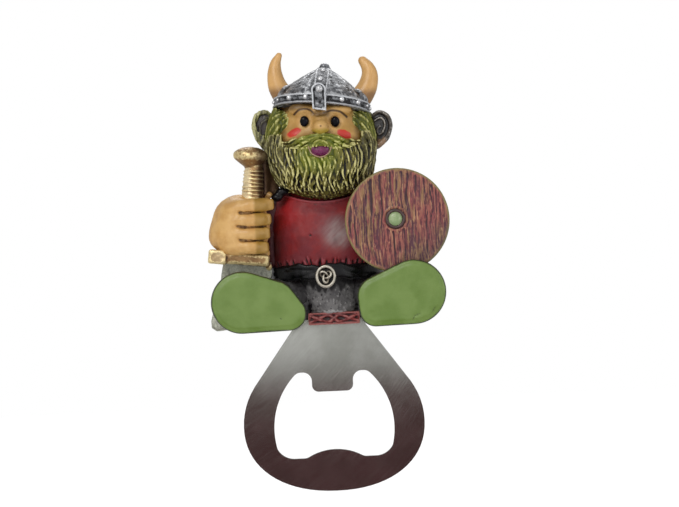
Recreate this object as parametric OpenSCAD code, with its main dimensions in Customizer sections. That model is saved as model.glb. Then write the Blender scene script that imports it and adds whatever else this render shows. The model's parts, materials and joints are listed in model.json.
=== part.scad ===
// Souvenir bottle opener: a painted resin Viking, seated, with a steel opener plate and two
// magnets in its flat back.
// +Z is up the figure, the figure faces -Y, and the flat back lies on the plane y = 0.
// The origin is the centre of the lower magnet's outer face. Left and right are the figure's
// own: the sword hand is the right one, at -X.

/* [Opener plate] */
// Thickness of the steel plate
plate_t = 2.5; // [2:0.1:2.8]
// Width of the plate at its widest line
plate_w = 46.7; // [45:0.1:50]
// Height of the widest line
plate_mid_z = -47.3; // [-48:0.1:-47]
// Length of the round end below the widest line
plate_low_h = 17.3; // [16:0.1:18]
// Fullness of the round end, where 2 is a plain ellipse
plate_fullness = 2.2; // [2:0.05:2.5]
// Reach of the ellipse above the widest line
plate_high_h = 20.3; // [18:0.1:21]
// Width of the neck where it leaves the figure
neck_w = 18.6; // [17:0.1:20]
// Width of the tang inside the figure
tang_w = 13; // [11:0.5:13]

/* [Cap mouth] */
// Width of the mouth
mouth_w = 31; // [30:0.1:32]
// Radius of the two bowed side walls
mouth_wall_r = 20; // [18:0.5:22]
// Height of the top of the mouth
mouth_top_z = -33.8; // [-34:0.1:-33]
// Height of the two lowest hollows
mouth_low_z = -56; // [-56.5:0.1:-55.5]
// Width of the tab that presses on the cap
tab_w = 10.6; // [9:0.1:12]
// Height of the tab's lower edge
tab_z = -38.9; // [-39.5:0.1:-38.5]
// Rise of the lip that catches under the cap
lip_rise = 2.1; // [1:0.1:2.5]

/* [Magnets] */
// Diameter of each magnet
magnet_d = 16; // [12:0.5:17]
// Thickness of each magnet
magnet_t = 3; // [2:0.1:3]
// Height of the upper magnet above the lower one
magnet_pitch = 29; // [28:0.5:30]
// Thickness of the adhesive around each magnet
glue_t = 0.3; // [0.2:0.1:0.5]

/* [Body] */
// Width across the belly
belly_w = 28.4; // [26:0.1:29]
// Depth from the flat back to the front of the belly
belly_depth = 17; // [16:0.1:18]
// Height of the belt's upper edge
belt_top_z = -6; // [-7:0.1:-5.5]
// Height of the belt
belt_h = 4; // [3:0.1:4]
// Height of the buckle disc
buckle_h = 5.8; // [5:0.1:6.2]
// Width of the buckle disc
buckle_w = 5.3; // [4.6:0.1:6]
// Width of the braided hem
hem_w = 13.3; // [12:0.1:14]

/* [Feet] */
// Depth of the soles' front faces from the flat back
sole_depth = 24.5; // [24:0.1:26]
// Thickness of the soles
sole_t = 3; // [2:0.1:3]
// Radius of the broad end of the right sole
right_ball_r = 7.9; // [7.5:0.1:8.2]
// Radius of the broad end of the left sole
left_ball_r = 8.2; // [7.5:0.1:8.4]

/* [Sword] */
// Width of the pommel
pommel_w = 8.6; // [8:0.1:9]
// Diameter of the grip
grip_d = 4.6; // [4:0.1:5]
// Width of the guard
guard_w = 15.6; // [15:0.1:16]
// Thickness of the blade
blade_t = 2.2; // [1.8:0.1:2.6]

/* [Shield] */
// Radius of the shield
shield_r = 13.3; // [12.5:0.1:13.5]
// Thickness of the shield
shield_t = 3; // [2.5:0.1:3]
// Radius of the boss ring
boss_r = 2.5; // [2:0.1:3]

/* [Head] */
// Width of the head under the hair
head_w = 23; // [22:0.1:24]
// Height of the middle of the head
head_z = 28.5; // [28:0.1:29]
// Width of the beard
beard_w = 27.6; // [26:0.1:28]
// Depth from the flat back to the front of the beard
beard_depth = 21.8; // [21:0.1:22.5]

/* [Helmet] */
// Width of the brow band
band_w = 24.8; // [24:0.1:26]
// Height of the brow band
band_h = 2.4; // [2.2:0.1:3]
// Height of the dome above the lower edge of the band
dome_h = 11.6; // [11:0.1:12]
// Sideways tilt of the helmet
helmet_tilt = 6; // [3:0.5:8]
// Backward tilt of the helmet
helmet_lean = 9; // [6:0.5:10]

/* [Hidden] */

// Fineness of round outlines, and of the soft forms that are joined by hulls
round_fn = 72;
soft_fn = 16;

steel = [0.62, 0.63, 0.61];
magnet_grey = [0.2, 0.2, 0.21];
epoxy_grey = [0.42, 0.4, 0.36];
tunic_red = [0.5, 0.1, 0.12];
skirt_grey = [0.33, 0.33, 0.34];
black = [0.07, 0.07, 0.07];
silver = [0.68, 0.66, 0.6];
sole_green = [0.47, 0.58, 0.3];
boot_green = [0.33, 0.42, 0.2];
skin = [0.8, 0.62, 0.36];
gold = [0.72, 0.55, 0.3];
wood_red = [0.5, 0.3, 0.24];
beard_olive = [0.5, 0.52, 0.16];
gunmetal = [0.42, 0.43, 0.45];
horn_tan = [0.87, 0.69, 0.43];

// Large enough to cut right across the figure
cutter = 160;

// The plate lies this far in front of the flat back
plate_back = 3;
plate_front = plate_back + plate_t;
neck_z = -22;
tang_low_z = -17.6;
tang_top_z = -10.4;
channel_gap = 0.8;
channel_low_z = neck_z + 0.4;

waist_z = belt_top_z - belt_h / 2;
belt_low_z = belt_top_z - belt_h;
belt_wrap = 1.3;
waist_x = belly_w / 2 - 1.1;
waist_y = belly_depth - 6.3;
body_y = -5.5;

sole_y = -sole_depth;
boot_y = sole_y + sole_t;
shield_y = boot_y + shield_t;
shield_at = [18.3, shield_y, 4.3];

grip_y = -14;
grip_foot = [-20.4, grip_y, -2.6];
grip_lean = 7;
grip_len = 24;
blade_y = -8.8;

helmet_at = [0.2, -9.2, 33.2];
band_x = band_w / 2;
band_y = 11.4;
band_t = 1.4;

// ---------------------------------------------------------------- helpers

// Ellipsoid of full size s centred at p
module ball(p, s)
    translate(p)
        hull()
            scale(s / 2)
                sphere(1, $fn = soft_fn);

// Ellipsoids joined pair by pair along a line of places
module chain(places, sizes)
    for (i = [1 : len(places) - 1])
        hull() {
            ball(places[i - 1], sizes[i - 1]);
            ball(places[i], sizes[i]);
        }

// What lies in front of the flat back
module flat_backed()
    difference() {
        children();
        translate([-cutter / 2, 0, -cutter / 2])
            cube(cutter);
    }

// What lies above a height
module above(z)
    intersection() {
        children();
        translate([-cutter / 2, -cutter / 2, z])
            cube(cutter);
    }

// What lies below a height
module below(z)
    intersection() {
        children();
        translate([-cutter / 2, -cutter / 2, z - cutter])
            cube(cutter);
    }

// Outline drawn in X and Z, thickened from y = front towards the back
module slab(front, thickness)
    translate([0, front + thickness, 0])
        rotate([90, 0, 0])
            linear_extrude(thickness)
                children();

// Ellipse in the plane, given its half axes
module ellipse(a, b)
    scale([a, b])
        circle(1, $fn = round_fn);

// Ellipse in the plane that bulges towards its corners when the power is above 2
module full_ellipse(a, b, power)
    polygon([
        for (i = [0:round_fn - 1])
            let (c = cos(360 * i / round_fn), s = sin(360 * i / round_fn))
                [a * sign(c) * pow(abs(c), 2 / power), b * sign(s) * pow(abs(s), 2 / power)]
    ]);

// Point at t of 0 to 1 along a curve with two inner handles
function curve_at(a, b, c, d, t) =
    a * pow(1 - t, 3) + 3 * b * t * pow(1 - t, 2) + 3 * c * t * t * (1 - t) + d * pow(t, 3);

// ---------------------------------------------------------------- opener plate

module plate_outline()
    hull() {
        translate([0, plate_mid_z])
            intersection() {
                full_ellipse(plate_w / 2, plate_low_h, plate_fullness);
                translate([-cutter / 2, -cutter])
                    square(cutter);
            }
        translate([0, plate_mid_z])
            intersection() {
                ellipse(plate_w / 2, plate_high_h);
                translate([-cutter / 2, 0])
                    square(cutter);
            }
        translate([-neck_w / 2, neck_z - 1])
            square([neck_w, 1]);
    }

module neck_outline()
    hull() {
        translate([-neck_w / 2, neck_z - 1])
            square([neck_w, 1]);
        translate([-tang_w / 2, tang_low_z - 0.1])
            square([tang_w, 0.1]);
    }

module mouth_outline() {
    wall_x = mouth_wall_r - mouth_w / 2;
    wall_z = -48.5;
    corner_r = 5;
    lip_r = 14;
    inner_r = 1.7;
    outer_r = 2.3;
    offset(r = -inner_r, $fn = round_fn)
        offset(r = inner_r + outer_r, $fn = round_fn)
            offset(r = -outer_r, $fn = round_fn)
                difference() {
                    intersection() {
                        translate([wall_x, wall_z])
                            circle(mouth_wall_r, $fn = 2 * round_fn);
                        translate([-wall_x, wall_z])
                            circle(mouth_wall_r, $fn = 2 * round_fn);
                        hull() {
                            for (side = [-1, 1])
                                translate([side * (mouth_w / 2 - corner_r), mouth_low_z + corner_r])
                                    circle(corner_r, $fn = round_fn);
                            translate([-mouth_w / 2 - 1, mouth_top_z - 1])
                                square([mouth_w + 2, 1]);
                        }
                    }
                    translate([-tab_w / 2, tab_z])
                        square([tab_w, 20]);
                    translate([0, mouth_low_z + lip_rise - lip_r])
                        circle(lip_r, $fn = round_fn);
                }
}

module plate_form()
    slab(-plate_front, plate_t)
        difference() {
            union() {
                plate_outline();
                neck_outline();
                translate([-tang_w / 2, tang_low_z])
                    square([tang_w, tang_top_z - tang_low_z]);
            }
            mouth_outline();
        }

module opener_plate()
    color(steel)
        plate_form();

// Open channel in the back of the skirt that takes the tang
module channel_form()
    translate([-tang_w / 2 - channel_gap, -plate_front, channel_low_z])
        cube([tang_w + 2 * channel_gap, plate_front, tang_top_z - channel_low_z + channel_gap]);

// Adhesive that covers the tang and is struck off level with the back
module tang_epoxy()
    color(epoxy_grey)
        difference() {
            translate([-tang_w / 2 - channel_gap, -plate_front, tang_low_z])
                cube([tang_w + 2 * channel_gap, plate_front, tang_top_z - tang_low_z + channel_gap]);
            translate([-tang_w / 2, -plate_front - 1, tang_low_z - 1])
                cube([tang_w, plate_t + 1, tang_top_z - tang_low_z + 1]);
        }

// ---------------------------------------------------------------- magnets

module magnet_form(z)
    translate([0, 0, z])
        rotate([90, 0, 0])
            cylinder(d = magnet_d, h = magnet_t, $fn = round_fn);

module magnet_pocket(z)
    translate([0, 0, z])
        rotate([90, 0, 0])
            cylinder(d = magnet_d + 2 * glue_t, h = magnet_t + glue_t, $fn = round_fn);

module magnet_lower()
    color(magnet_grey)
        magnet_form(0);

module magnet_upper()
    color(magnet_grey)
        magnet_form(magnet_pitch);

// Two cups of adhesive, one under each magnet
module magnet_epoxy()
    color(epoxy_grey)
        for (z = [0, magnet_pitch])
            difference() {
                magnet_pocket(z);
                magnet_form(z);
            }

// ---------------------------------------------------------------- body

module tunic_form()
    above(belt_low_z)
        flat_backed()
            hull() {
                ball([-0.3, body_y, 1.5], [belly_w, 2 * (belly_depth + body_y), 21]);
                ball([-0.3, -6, 8.5], [25, 16, 11]);
                ball([-0.2, body_y, waist_z], [2 * waist_x, 2 * waist_y, 14]);
            }

module tunic()
    color(tunic_red)
        difference() {
            tunic_form();
            belt_form();
            magnet_pocket(0);
            channel_form();
            blade_form();
        }

module waist_outline(grow)
    translate([-0.2, body_y])
        ellipse(waist_x + grow, waist_y + grow);

module belt_form()
    flat_backed()
        translate([0, 0, belt_low_z])
            linear_extrude(belt_h)
                difference() {
                    waist_outline(belt_wrap);
                    waist_outline(-0.5);
                }

module belt()
    color(black)
        difference() {
            belt_form();
            shield_form();
        }

module buckle_form()
    translate([-0.5, 0, waist_z - 1.1])
        slab(-waist_y + body_y - belt_wrap - 1.4, 1.4) {
            ellipse(buckle_w / 2, buckle_h / 2);
        }

module belt_buckle()
    color(silver)
        buckle_form();

module skirt_form()
    below(belt_low_z)
        above(-18.5)
            flat_backed()
                hull() {
                    ball([-0.2, body_y, belt_low_z], [20, 19, 10]);
                    ball([1.2, -6, -16.5], [14.2, 15.4, 10]);
                }

module skirt()
    color(skirt_grey)
        difference() {
            skirt_form();
            channel_form();
            blade_form();
            shield_form();
        }

module hem_form()
    translate([1.15, -plate_front, -20])
        rotate([90, 0, 0])
            linear_extrude(13.4 - plate_front)
                offset(r = 0.8, $fn = round_fn)
                    square([hem_w - 1.6, 1.4], center = true);

module hem_braid()
    color(tunic_red)
        hem_form();

// Small dark clasp at the top of the sword arm
module shoulder_clasp()
    color(black)
        difference() {
            chain([[-12.3, -13.2, 11.3], [-10.6, -12.8, 13.2]], [[2.6, 2.6, 2.2], [3, 2.6, 2.2]]);
            tunic_form();
            hand_form();
            grip_form();
            sleeve_form_right();
            beard_form();
        }

// ---------------------------------------------------------------- feet

right_leg = [[-9.4, -7.6, -13], [-15.5, -11.5, -14.8]];
left_leg = [[9.6, -7.6, -13], [16, -11.5, -14.2]];
leg_size = [10, 10.6, 10.6];

module leg_form(places)
    chain(places, [leg_size, leg_size]);

module leg(places)
    color(skirt_grey)
        difference() {
            leg_form(places);
            boot_form_right();
            boot_form_left();
            plate_form();
            channel_form();
            hem_form();
            blade_form();
            magnet_pocket(0);
            skirt_form();
            tunic_form();
            belt_form();
        }

module leg_right() leg(right_leg);

module leg_left() leg(left_leg);

// Sole outline: a broad end, a narrow inner end and a high inner corner
module sole_outline(broad, broad_r, narrow, narrow_r, corner, corner_r)
    hull() {
        translate(broad)
            circle(broad_r, $fn = round_fn);
        translate(narrow)
            circle(narrow_r, $fn = round_fn);
        translate(corner)
            circle(corner_r, $fn = round_fn);
    }

module sole_outline_right()
    sole_outline([-22, -14.9], right_ball_r, [-10.4, -18.3], 4.3, [-13.6, -14.6], 5);

module sole_outline_left()
    sole_outline([21.7, -14], left_ball_r, [11.3, -18.2], 4.2, [12.2, -14.6], 4.9);

module sole_right()
    color(sole_green)
        slab(sole_y, sole_t)
            sole_outline_right();

module sole_left()
    color(sole_green)
        slab(sole_y, sole_t)
            sole_outline_left();

module boot_form_right()
    hull() {
        slab(boot_y, 2)
            offset(r = -0.5, $fn = 32)
                sole_outline_right();
        ball([-17.6, -12, -14.8], [14, 7, 13.4]);
    }

module boot_form_left()
    hull() {
        slab(boot_y, 2)
            offset(r = -0.5, $fn = 32)
                sole_outline_left();
        ball([17.8, -12, -14.2], [14, 7, 13.4]);
    }

module boot_right()
    color(boot_green)
        difference() {
            boot_form_right();
            blade_form();
            guard_form();
            hem_form();
            skirt_form();
        }

module boot_left()
    color(boot_green)
        difference() {
            boot_form_left();
            shield_form();
            hem_form();
            skirt_form();
        }

// ---------------------------------------------------------------- arms

module sleeve_form_right()
    flat_backed()
        chain([[-10, -7, 8], [-17, -6.5, 4], [-21, -9, 3.5]], [[10, 11, 11], [11, 11, 11], [9, 9, 9]]);

module sleeve_form_left()
    flat_backed()
        chain([[10, -7, 8], [17, -6.5, 4], [17.5, -11, 4]], [[10, 11, 11], [11, 11, 11], [9, 9, 9]]);

module sleeve_right()
    color(tunic_red)
        difference() {
            sleeve_form_right();
            tunic_form();
            hand_form();
            grip_form();
            blade_form();
            guard_form();
        }

module sleeve_left()
    color(tunic_red)
        difference() {
            sleeve_form_left();
            tunic_form();
            hand_left_form();
            shield_form();
            belt_form();
        }

// Closed hand: a palm and four fingers that wrap the grip from the left
module hand_form() {
    tips = [[-14.9, 9.8], [-15.4, 6], [-15.9, 2.7], [-16.3, -1]];
    knuckles = [[-24, 9.2], [-25.8, 5.6], [-26.6, 2.2], [-26.2, -1.2]];
    finger = [3.8, 5, 3.9];
    hull() {
        ball([-21.5, -14, 7.2], [13, 12, 11]);
        ball([-22.6, -14, 1.4], [14.6, 13, 8.4]);
    }
    for (i = [0 : 3])
        hull() {
            ball([tips[i].x, -18.4, tips[i].y], finger);
            ball([knuckles[i].x, -18, knuckles[i].y], finger);
        }
}

module hand_right()
    color(skin)
        difference() {
            hand_form();
            grip_form();
            guard_form();
            tunic_form();
        }

module hand_left_form()
    ball([17.5, -15.6, 4], [9, 8, 9]);

module hand_left()
    color(skin)
        difference() {
            hand_left_form();
            shield_form();
            tunic_form();
            beard_form();
        }

// ---------------------------------------------------------------- sword

// Frame of the grip: its own +Z runs from the guard to the pommel
module along_grip()
    translate(grip_foot)
        rotate([0, grip_lean, 0])
            children();

// The pommel starts this far below the end of the grip
pommel_set = 2.6;

module grip_form()
    along_grip()
        cylinder(d = grip_d, h = grip_len, $fn = round_fn);

// Grip bound with rings
module sword_grip()
    color(gold)
        along_grip() {
            ring_pitch = 1.05;
            ring_h = 0.8;
            ring_d = grip_d + 0.5;
            first_ring = 15.2;
            cylinder(d = grip_d, h = grip_len - pommel_set, $fn = round_fn);
            for (i = [0 : 5])
                translate([0, 0, first_ring + i * ring_pitch])
                    cylinder(d = ring_d, h = ring_h, $fn = round_fn);
        }

// Round pommel with a waist below it
module sword_pommel()
    color(gold)
        along_grip()
            translate([0, 0, grip_len - pommel_set])
                rotate_extrude($fn = round_fn)
                    polygon([
                        [0, 0], [grip_d / 2, 0], [grip_d / 2 + 0.3, 0.9], [pommel_w / 2 - 0.6, 1.5],
                        [pommel_w / 2, 2.4], [pommel_w / 2, 3.8], [pommel_w / 2 - 0.7, 4.8], [0, 5.2]
                    ]);

module guard_form()
    translate([-22.3, grip_y + 4.2, -3.8])
        rotate([90, 7, 0])
            linear_extrude(8.4)
                offset(r = 0.5, $fn = 32)
                    square([guard_w - 1, 2.2], center = true);

module sword_guard()
    color(gold)
        difference() {
            guard_form();
            grip_form();
        }

// Broad blade that runs down behind the right foot to a blunt point
module blade_form()
    slab(blade_y - blade_t, blade_t)
        offset(r = 1.2, $fn = 32)
            offset(delta = -1.2)
                polygon([
                    [-26.4, -4], [-30.6, -19.6], [-28.6, -22.2],
                    [-25, -21.9], [-18.6, -17], [-14.4, -5.6]
                ]);

module sword_blade()
    color(silver)
        difference() {
            blade_form();
            guard_form();
        }

// ---------------------------------------------------------------- shield

module shield_form()
    translate(shield_at)
        rotate([90, 0, 0])
            cylinder(r = shield_r, h = shield_t, $fn = 2 * round_fn);

module shield_board()
    color(wood_red)
        shield_form();

// The boss sits a little off the middle of the board
boss_x = 17.8;
boss_z = 4.7;
boss_rim_t = 0.7;

module on_shield()
    translate([boss_x, -sole_depth + sole_t, boss_z])
        rotate([90, 0, 0])
            children();

module shield_boss_ring()
    color(black)
        on_shield()
            difference() {
                cylinder(r = boss_r, h = boss_rim_t, $fn = round_fn);
                translate([0, 0, -1])
                    cylinder(r = boss_r - boss_rim_t, h = 3, $fn = round_fn);
            }

module shield_boss()
    color(sole_green)
        on_shield()
            rotate_extrude($fn = round_fn)
                intersection() {
                    translate([0, -1.1])
                        circle(2.1, $fn = round_fn);
                    square([boss_r - boss_rim_t, 2]);
                }

// ---------------------------------------------------------------- head

module head_form()
    flat_backed() {
        ball([-0.3, -7, head_z], [head_w, 25, 25]);
        ball([0, -6.5, 15], [15, 13, 10]);
    }

module head()
    color(skin)
        difference() {
            head_form();
            helmet_room();
            beard_form();
            moustache_form();
            hair_form(-1);
            hair_form(1);
            nose_form();
            eye_form([-4.2, -19.3, 30.5]);
            eye_form([3.6, -19.3, 30.1]);
            ear_form_right();
            ear_form_left();
            tunic_form();
            magnet_pocket(magnet_pitch);
            nose_guard_form();
        }

module nose_form()
    ball([-0.2, -21.3, 28.8], [3.9, 4.8, 3.9]);

module nose()
    color(skin)
        difference() {
            nose_form();
            moustache_form();
        }

module eye_form(p)
    ball(p, [2.5, 1.8, 2.9]);

module eye_right()
    color(black)
        eye_form([-4.2, -19.3, 30.5]);

module eye_left()
    color(black)
        eye_form([3.6, -19.3, 30.1]);

// Tufts at the temples, from under the helmet to the beard
module hair_form(side)
    flat_backed()
        translate([-0.3 + side * 11, -8.6, 0])
            chain(
                [[0, 0, 33], [side * 0.8, 0, 28.5], [side * 1, 0, 24]],
                [[6.4, 17, 8], [6.6, 18, 9], [6, 18, 8]]
            );

module hair(side)
    color(beard_olive)
        difference() {
            hair_form(side);
            helmet_room();
            beard_form();
            moustache_form();
            ear_form_right();
            ear_form_left();
            pommel_clear();
            magnet_pocket(magnet_pitch);
        }

module hair_right() hair(-1);

module hair_left() hair(1);

module beard_form()
    below(25)
        flat_backed() {
            hull() {
                ball([-0.6, -11.6, 21.4], [beard_w, 2 * (beard_depth - 11.6), 15]);
                ball([0, -11.6, 15.4], [19, 18.6, 10.2]);
            }
            ball([-0.4, -10, 18], [24, 16, 14]);
        }

module beard()
    color(beard_olive)
        difference() {
            beard_form();
            moustache_form();
            mouth_form();
            tunic_form();
            shield_form();
            grip_form();
            pommel_clear();
            neck_core();
            magnet_pocket(magnet_pitch);
        }

// Neck, which the beard wraps
module neck_core()
    ball([0, -6.5, 20], [14, 13.5, 22]);

// Room around the pommel
module pommel_clear()
    along_grip()
        translate([0, 0, grip_len - 2.6])
            cylinder(d = pommel_w + 0.4, h = 5.6, $fn = round_fn);

module mouth_form()
    ball([-0.5, -20.8, 22.4], [5.8, 3.6, 3.2]);

module mouth()
    color([0.35, 0.08, 0.2])
        difference() {
            mouth_form();
            moustache_form();
        }

module moustache_form() {
    middle = [-0.2, -21.3, 26.3];
    thick = [4.4, 4, 3];
    chain([middle, [-4.4, -21.4, 25.6], [-9.2, -18.6, 24.9]], [thick, [4.8, 4, 2.8], [2.2, 2.6, 1.4]]);
    chain([middle, [4.1, -21.4, 25.3], [8.8, -18.4, 24.5]], [thick, [4.8, 4, 2.8], [2.2, 2.6, 1.4]]);
}

module moustache()
    color(beard_olive)
        moustache_form();

module ear_form_right()
    ball([-15.1, -9.6, 29], [6.2, 4.4, 9.6]);

module ear_form_left()
    ball([15.3, -9.6, 28], [6, 4.4, 9.8]);

module ear_right()
    color(beard_olive)
        difference() {
            ear_form_right();
            ball([-15.4, -12, 29.4], [3.4, 3, 6]);
            beard_form();
            helmet_room();
        }

module ear_left()
    color(beard_olive)
        difference() {
            ear_form_left();
            ball([15.6, -12, 28.6], [3.4, 3, 6]);
            beard_form();
            helmet_room();
        }

// ---------------------------------------------------------------- helmet

// Frame of the helmet: origin at the middle of the band's lower edge
module on_helmet()
    translate(helmet_at)
        rotate([-helmet_lean, helmet_tilt, 0])
            children();

module band_form()
    flat_backed()
        on_helmet()
            linear_extrude(band_h)
                difference() {
                    ellipse(band_x, band_y);
                    ellipse(band_x - band_t, band_y - band_t);
                }

// Level of the dome at a share of its height, as a thin elliptical disc
module dome_level(share, level)
    translate([0, 0, band_h + level * (dome_h - band_h)])
        linear_extrude(0.2)
            ellipse((band_x - 0.6) * share, (band_y - 0.6) * share);

module dome_form()
    flat_backed()
        on_helmet() {
            linear_extrude(band_h + 0.1)
                ellipse(band_x - band_t, band_y - band_t);
            hull() {
                dome_level(1, 0);
                dome_level(0.84, 0.32);
                dome_level(0.5, 0.68);
                dome_level(0.1, 0.97);
            }
        }

// Everything above the lower edge of the helmet
module helmet_room()
    on_helmet()
        translate([-cutter / 2, -cutter / 2, 0])
            cube(cutter);

module ridge_form()
    flat_backed()
        on_helmet()
            chain(
                [
                    [0, -band_y + 0.9, 3.6], [0, -band_y + 1.9, dome_h * 0.5],
                    [0, -5, dome_h * 0.8], [0, 0, dome_h - 0.7]
                ],
                [[3.4, 1.8, 2.4], [3.1, 1.8, 2], [2.6, 2, 1.8], [2.2, 2.2, 1.6]]
            );

module nose_guard_form()
    translate([-0.25, 0, 0])
        slab(-22, 1.9)
            hull() {
                translate([0, 38.1])
                    circle(1.85, $fn = 32);
                translate([-1.6, 33.1])
                    square([3.2, 1]);
            }

module finial_form()
    on_helmet()
        ball([0, 0, dome_h + 0.1], [1.8, 1.8, 1.8]);

// Horn that sweeps out and then up and in
module horn_form(a, b, c, d, base_d) {
    steps = 9;
    tip_d = 0.8;
    places = [for (i = [0 : steps]) curve_at(a, b, c, d, i / steps)];
    sizes = [for (i = [0 : steps]) let (w = base_d + (tip_d - base_d) * pow(i / steps, 1.6)) [w, w, w]];
    chain(places, sizes);
}

module horn_form_right()
    horn_form([-8.9, -9.2, 37.2], [-11.6, -9.2, 41], [-12.2, -9.2, 45], [-9.8, -9.2, 48.2], 5.4);

module horn_form_left()
    horn_form([9.7, -9.2, 35.6], [13.4, -9.2, 39.6], [14, -9.2, 43.8], [10.9, -9.2, 46.4], 5.2);

module helmet_band()
    color(gunmetal)
        difference() {
            band_form();
            magnet_pocket(magnet_pitch);
            nose_guard_form();
            horn_form_right();
            horn_form_left();
        }

module helmet_dome()
    color(gunmetal)
        difference() {
            dome_form();
            ridge_form();
            horn_form_right();
            horn_form_left();
            nose_guard_form();
            finial_form();
            magnet_pocket(magnet_pitch);
        }

module helmet_ridge()
    color(gunmetal)
        difference() {
            ridge_form();
            band_form();
            nose_guard_form();
            finial_form();
        }

module nose_guard()
    color(gunmetal)
        nose_guard_form();

module helmet_finial()
    color(silver)
        finial_form();

// Domed rivets along the band and up the ridge
module helmet_rivets()
    color(silver)
        difference() {
            union() {
                for (angle = [-66, -44, -22, 22, 44, 66])
                    on_helmet()
                        ball(
                            [band_x * sin(angle), -band_y * cos(angle), band_h / 2],
                            [1.5, 1.5, 1.5]
                        );
                ball([-0.3, -22, 38.2], [1.6, 1.4, 1.6]);
            }
            band_form();
            nose_guard_form();
            horn_form_right();
            horn_form_left();
        }

module horn_right()
    color(horn_tan)
        horn_form_right();

module horn_left()
    color(horn_tan)
        horn_form_left();

// ---------------------------------------------------------------- nodes

opener_plate();
tang_epoxy();
magnet_lower();
magnet_upper();
magnet_epoxy();
tunic();
skirt();
hem_braid();
belt();
belt_buckle();
shoulder_clasp();
leg_right();
leg_left();
boot_right();
boot_left();
sole_right();
sole_left();
sleeve_right();
sleeve_left();
hand_right();
hand_left();
sword_pommel();
sword_grip();
sword_guard();
sword_blade();
shield_board();
shield_boss_ring();
shield_boss();
head();
nose();
eye_right();
eye_left();
mouth();
moustache();
beard();
hair_right();
hair_left();
ear_right();
ear_left();
helmet_dome();
helmet_band();
helmet_ridge();
nose_guard();
helmet_rivets();
helmet_finial();
horn_right();
horn_left();
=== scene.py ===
"""Souvenir bottle opener: a painted resin Viking on a steel opener plate, sculpted around the CAD frame.

The painted forms are modelled as clay: signed distances sampled on a fine grid, joined, carved and
meshed, then given relief by moving vertices. Sculpting is done in millimetres in the row frame.
Every sculpted vertex carries numbers that the paint reads, such as how deep it lies in a groove.
"""

import json
import math

import bpy
import numpy as np
import openvdb
from mathutils import Matrix, Vector


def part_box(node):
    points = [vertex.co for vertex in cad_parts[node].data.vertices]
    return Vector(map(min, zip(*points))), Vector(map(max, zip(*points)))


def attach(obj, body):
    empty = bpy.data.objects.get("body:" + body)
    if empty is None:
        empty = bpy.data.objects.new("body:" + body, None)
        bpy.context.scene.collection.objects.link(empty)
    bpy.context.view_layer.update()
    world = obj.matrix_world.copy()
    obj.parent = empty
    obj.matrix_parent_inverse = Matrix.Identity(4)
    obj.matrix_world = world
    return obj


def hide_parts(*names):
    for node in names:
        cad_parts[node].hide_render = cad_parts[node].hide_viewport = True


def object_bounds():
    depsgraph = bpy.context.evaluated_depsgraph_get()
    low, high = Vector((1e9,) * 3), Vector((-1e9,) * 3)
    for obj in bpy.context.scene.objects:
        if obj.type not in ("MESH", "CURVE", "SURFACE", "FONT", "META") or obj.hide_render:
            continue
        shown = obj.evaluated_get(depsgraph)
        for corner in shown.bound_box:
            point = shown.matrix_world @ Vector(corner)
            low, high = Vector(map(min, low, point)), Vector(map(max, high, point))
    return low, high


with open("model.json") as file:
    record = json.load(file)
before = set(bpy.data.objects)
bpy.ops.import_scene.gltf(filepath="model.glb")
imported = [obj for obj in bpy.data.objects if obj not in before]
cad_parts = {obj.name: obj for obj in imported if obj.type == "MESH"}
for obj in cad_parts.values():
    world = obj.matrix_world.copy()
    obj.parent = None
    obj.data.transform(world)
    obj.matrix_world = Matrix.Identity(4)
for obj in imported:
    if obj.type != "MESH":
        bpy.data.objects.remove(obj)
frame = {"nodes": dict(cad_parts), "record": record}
cad_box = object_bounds()

MM = 0.001
FINE = 0.2  # grid step of the head and other detailed forms, mm
COARSE = 0.3  # grid step of the smooth forms, mm
FAR = 9.0  # distance that stands for nothing near, mm
SKIN_DEPTH = 3  # grid steps kept around each form
MOVE = 0.6  # share of the way that relaxing moves a vertex


# ------------------------------------------------------------------ places from the CAD frame

def corners(node):
    """Lowest and highest corner of a CAD node, in millimetres."""
    low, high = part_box(node)
    return np.array(low) / MM, np.array(high) / MM


def middle(node):
    """Middle of a CAD node's box, in millimetres."""
    low, high = corners(node)
    return (low + high) / 2


def half_size(node):
    """Half the sides of a CAD node's box, in millimetres."""
    low, high = corners(node)
    return (high - low) / 2


def mount_spot(name):
    """Where one of the record's mounts sits, in millimetres."""
    mount = next(m for m in frame["record"]["mounts"] if m["name"] == name)
    return np.array(mount["pos_m"], float) / MM


X0, Y0, Z0 = ORIGIN = mount_spot("magnet_face")


def P(x, y, z):
    """A place measured from the lower magnet's face, as the CAD measures it, in millimetres."""
    return ORIGIN + (x, y, z)


def XZ(*spots):
    """Places seen from the front, as x and z from the lower magnet's face, in millimetres."""
    return np.array(spots, float) + ORIGIN[[0, 2]]


# ------------------------------------------------------------------ distance forms

class Form:
    """A signed distance, negative inside, and the box that it fills."""

    def __init__(self, dist, low, high):
        self.dist = dist
        self.low = np.array(low, float)
        self.high = np.array(high, float)


def turned(axis, degrees):
    """Rotation matrix that turns a form about an axis."""
    return np.array(Matrix.Rotation(math.radians(degrees), 3, axis))


def ball(centre, radii, turn=None):
    """Ellipsoid with the given radii."""
    cx, cy, cz = centre
    a, b, c = radii

    def dist(x, y, z):
        px, py, pz = x - cx, y - cy, z - cz
        if turn is not None:
            px, py, pz = (turn[0, i] * px + turn[1, i] * py + turn[2, i] * pz for i in range(3))
        near = np.sqrt((px / a) ** 2 + (py / b) ** 2 + (pz / c) ** 2)
        steep = np.sqrt((px / a**2) ** 2 + (py / b**2) ** 2 + (pz / c**2) ** 2) + 1e-6
        return near * (near - 1) / steep

    reach = np.array(radii, float) if turn is None else np.full(3, max(radii))
    return Form(dist, np.array(centre) - reach, np.array(centre) + reach)


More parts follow.
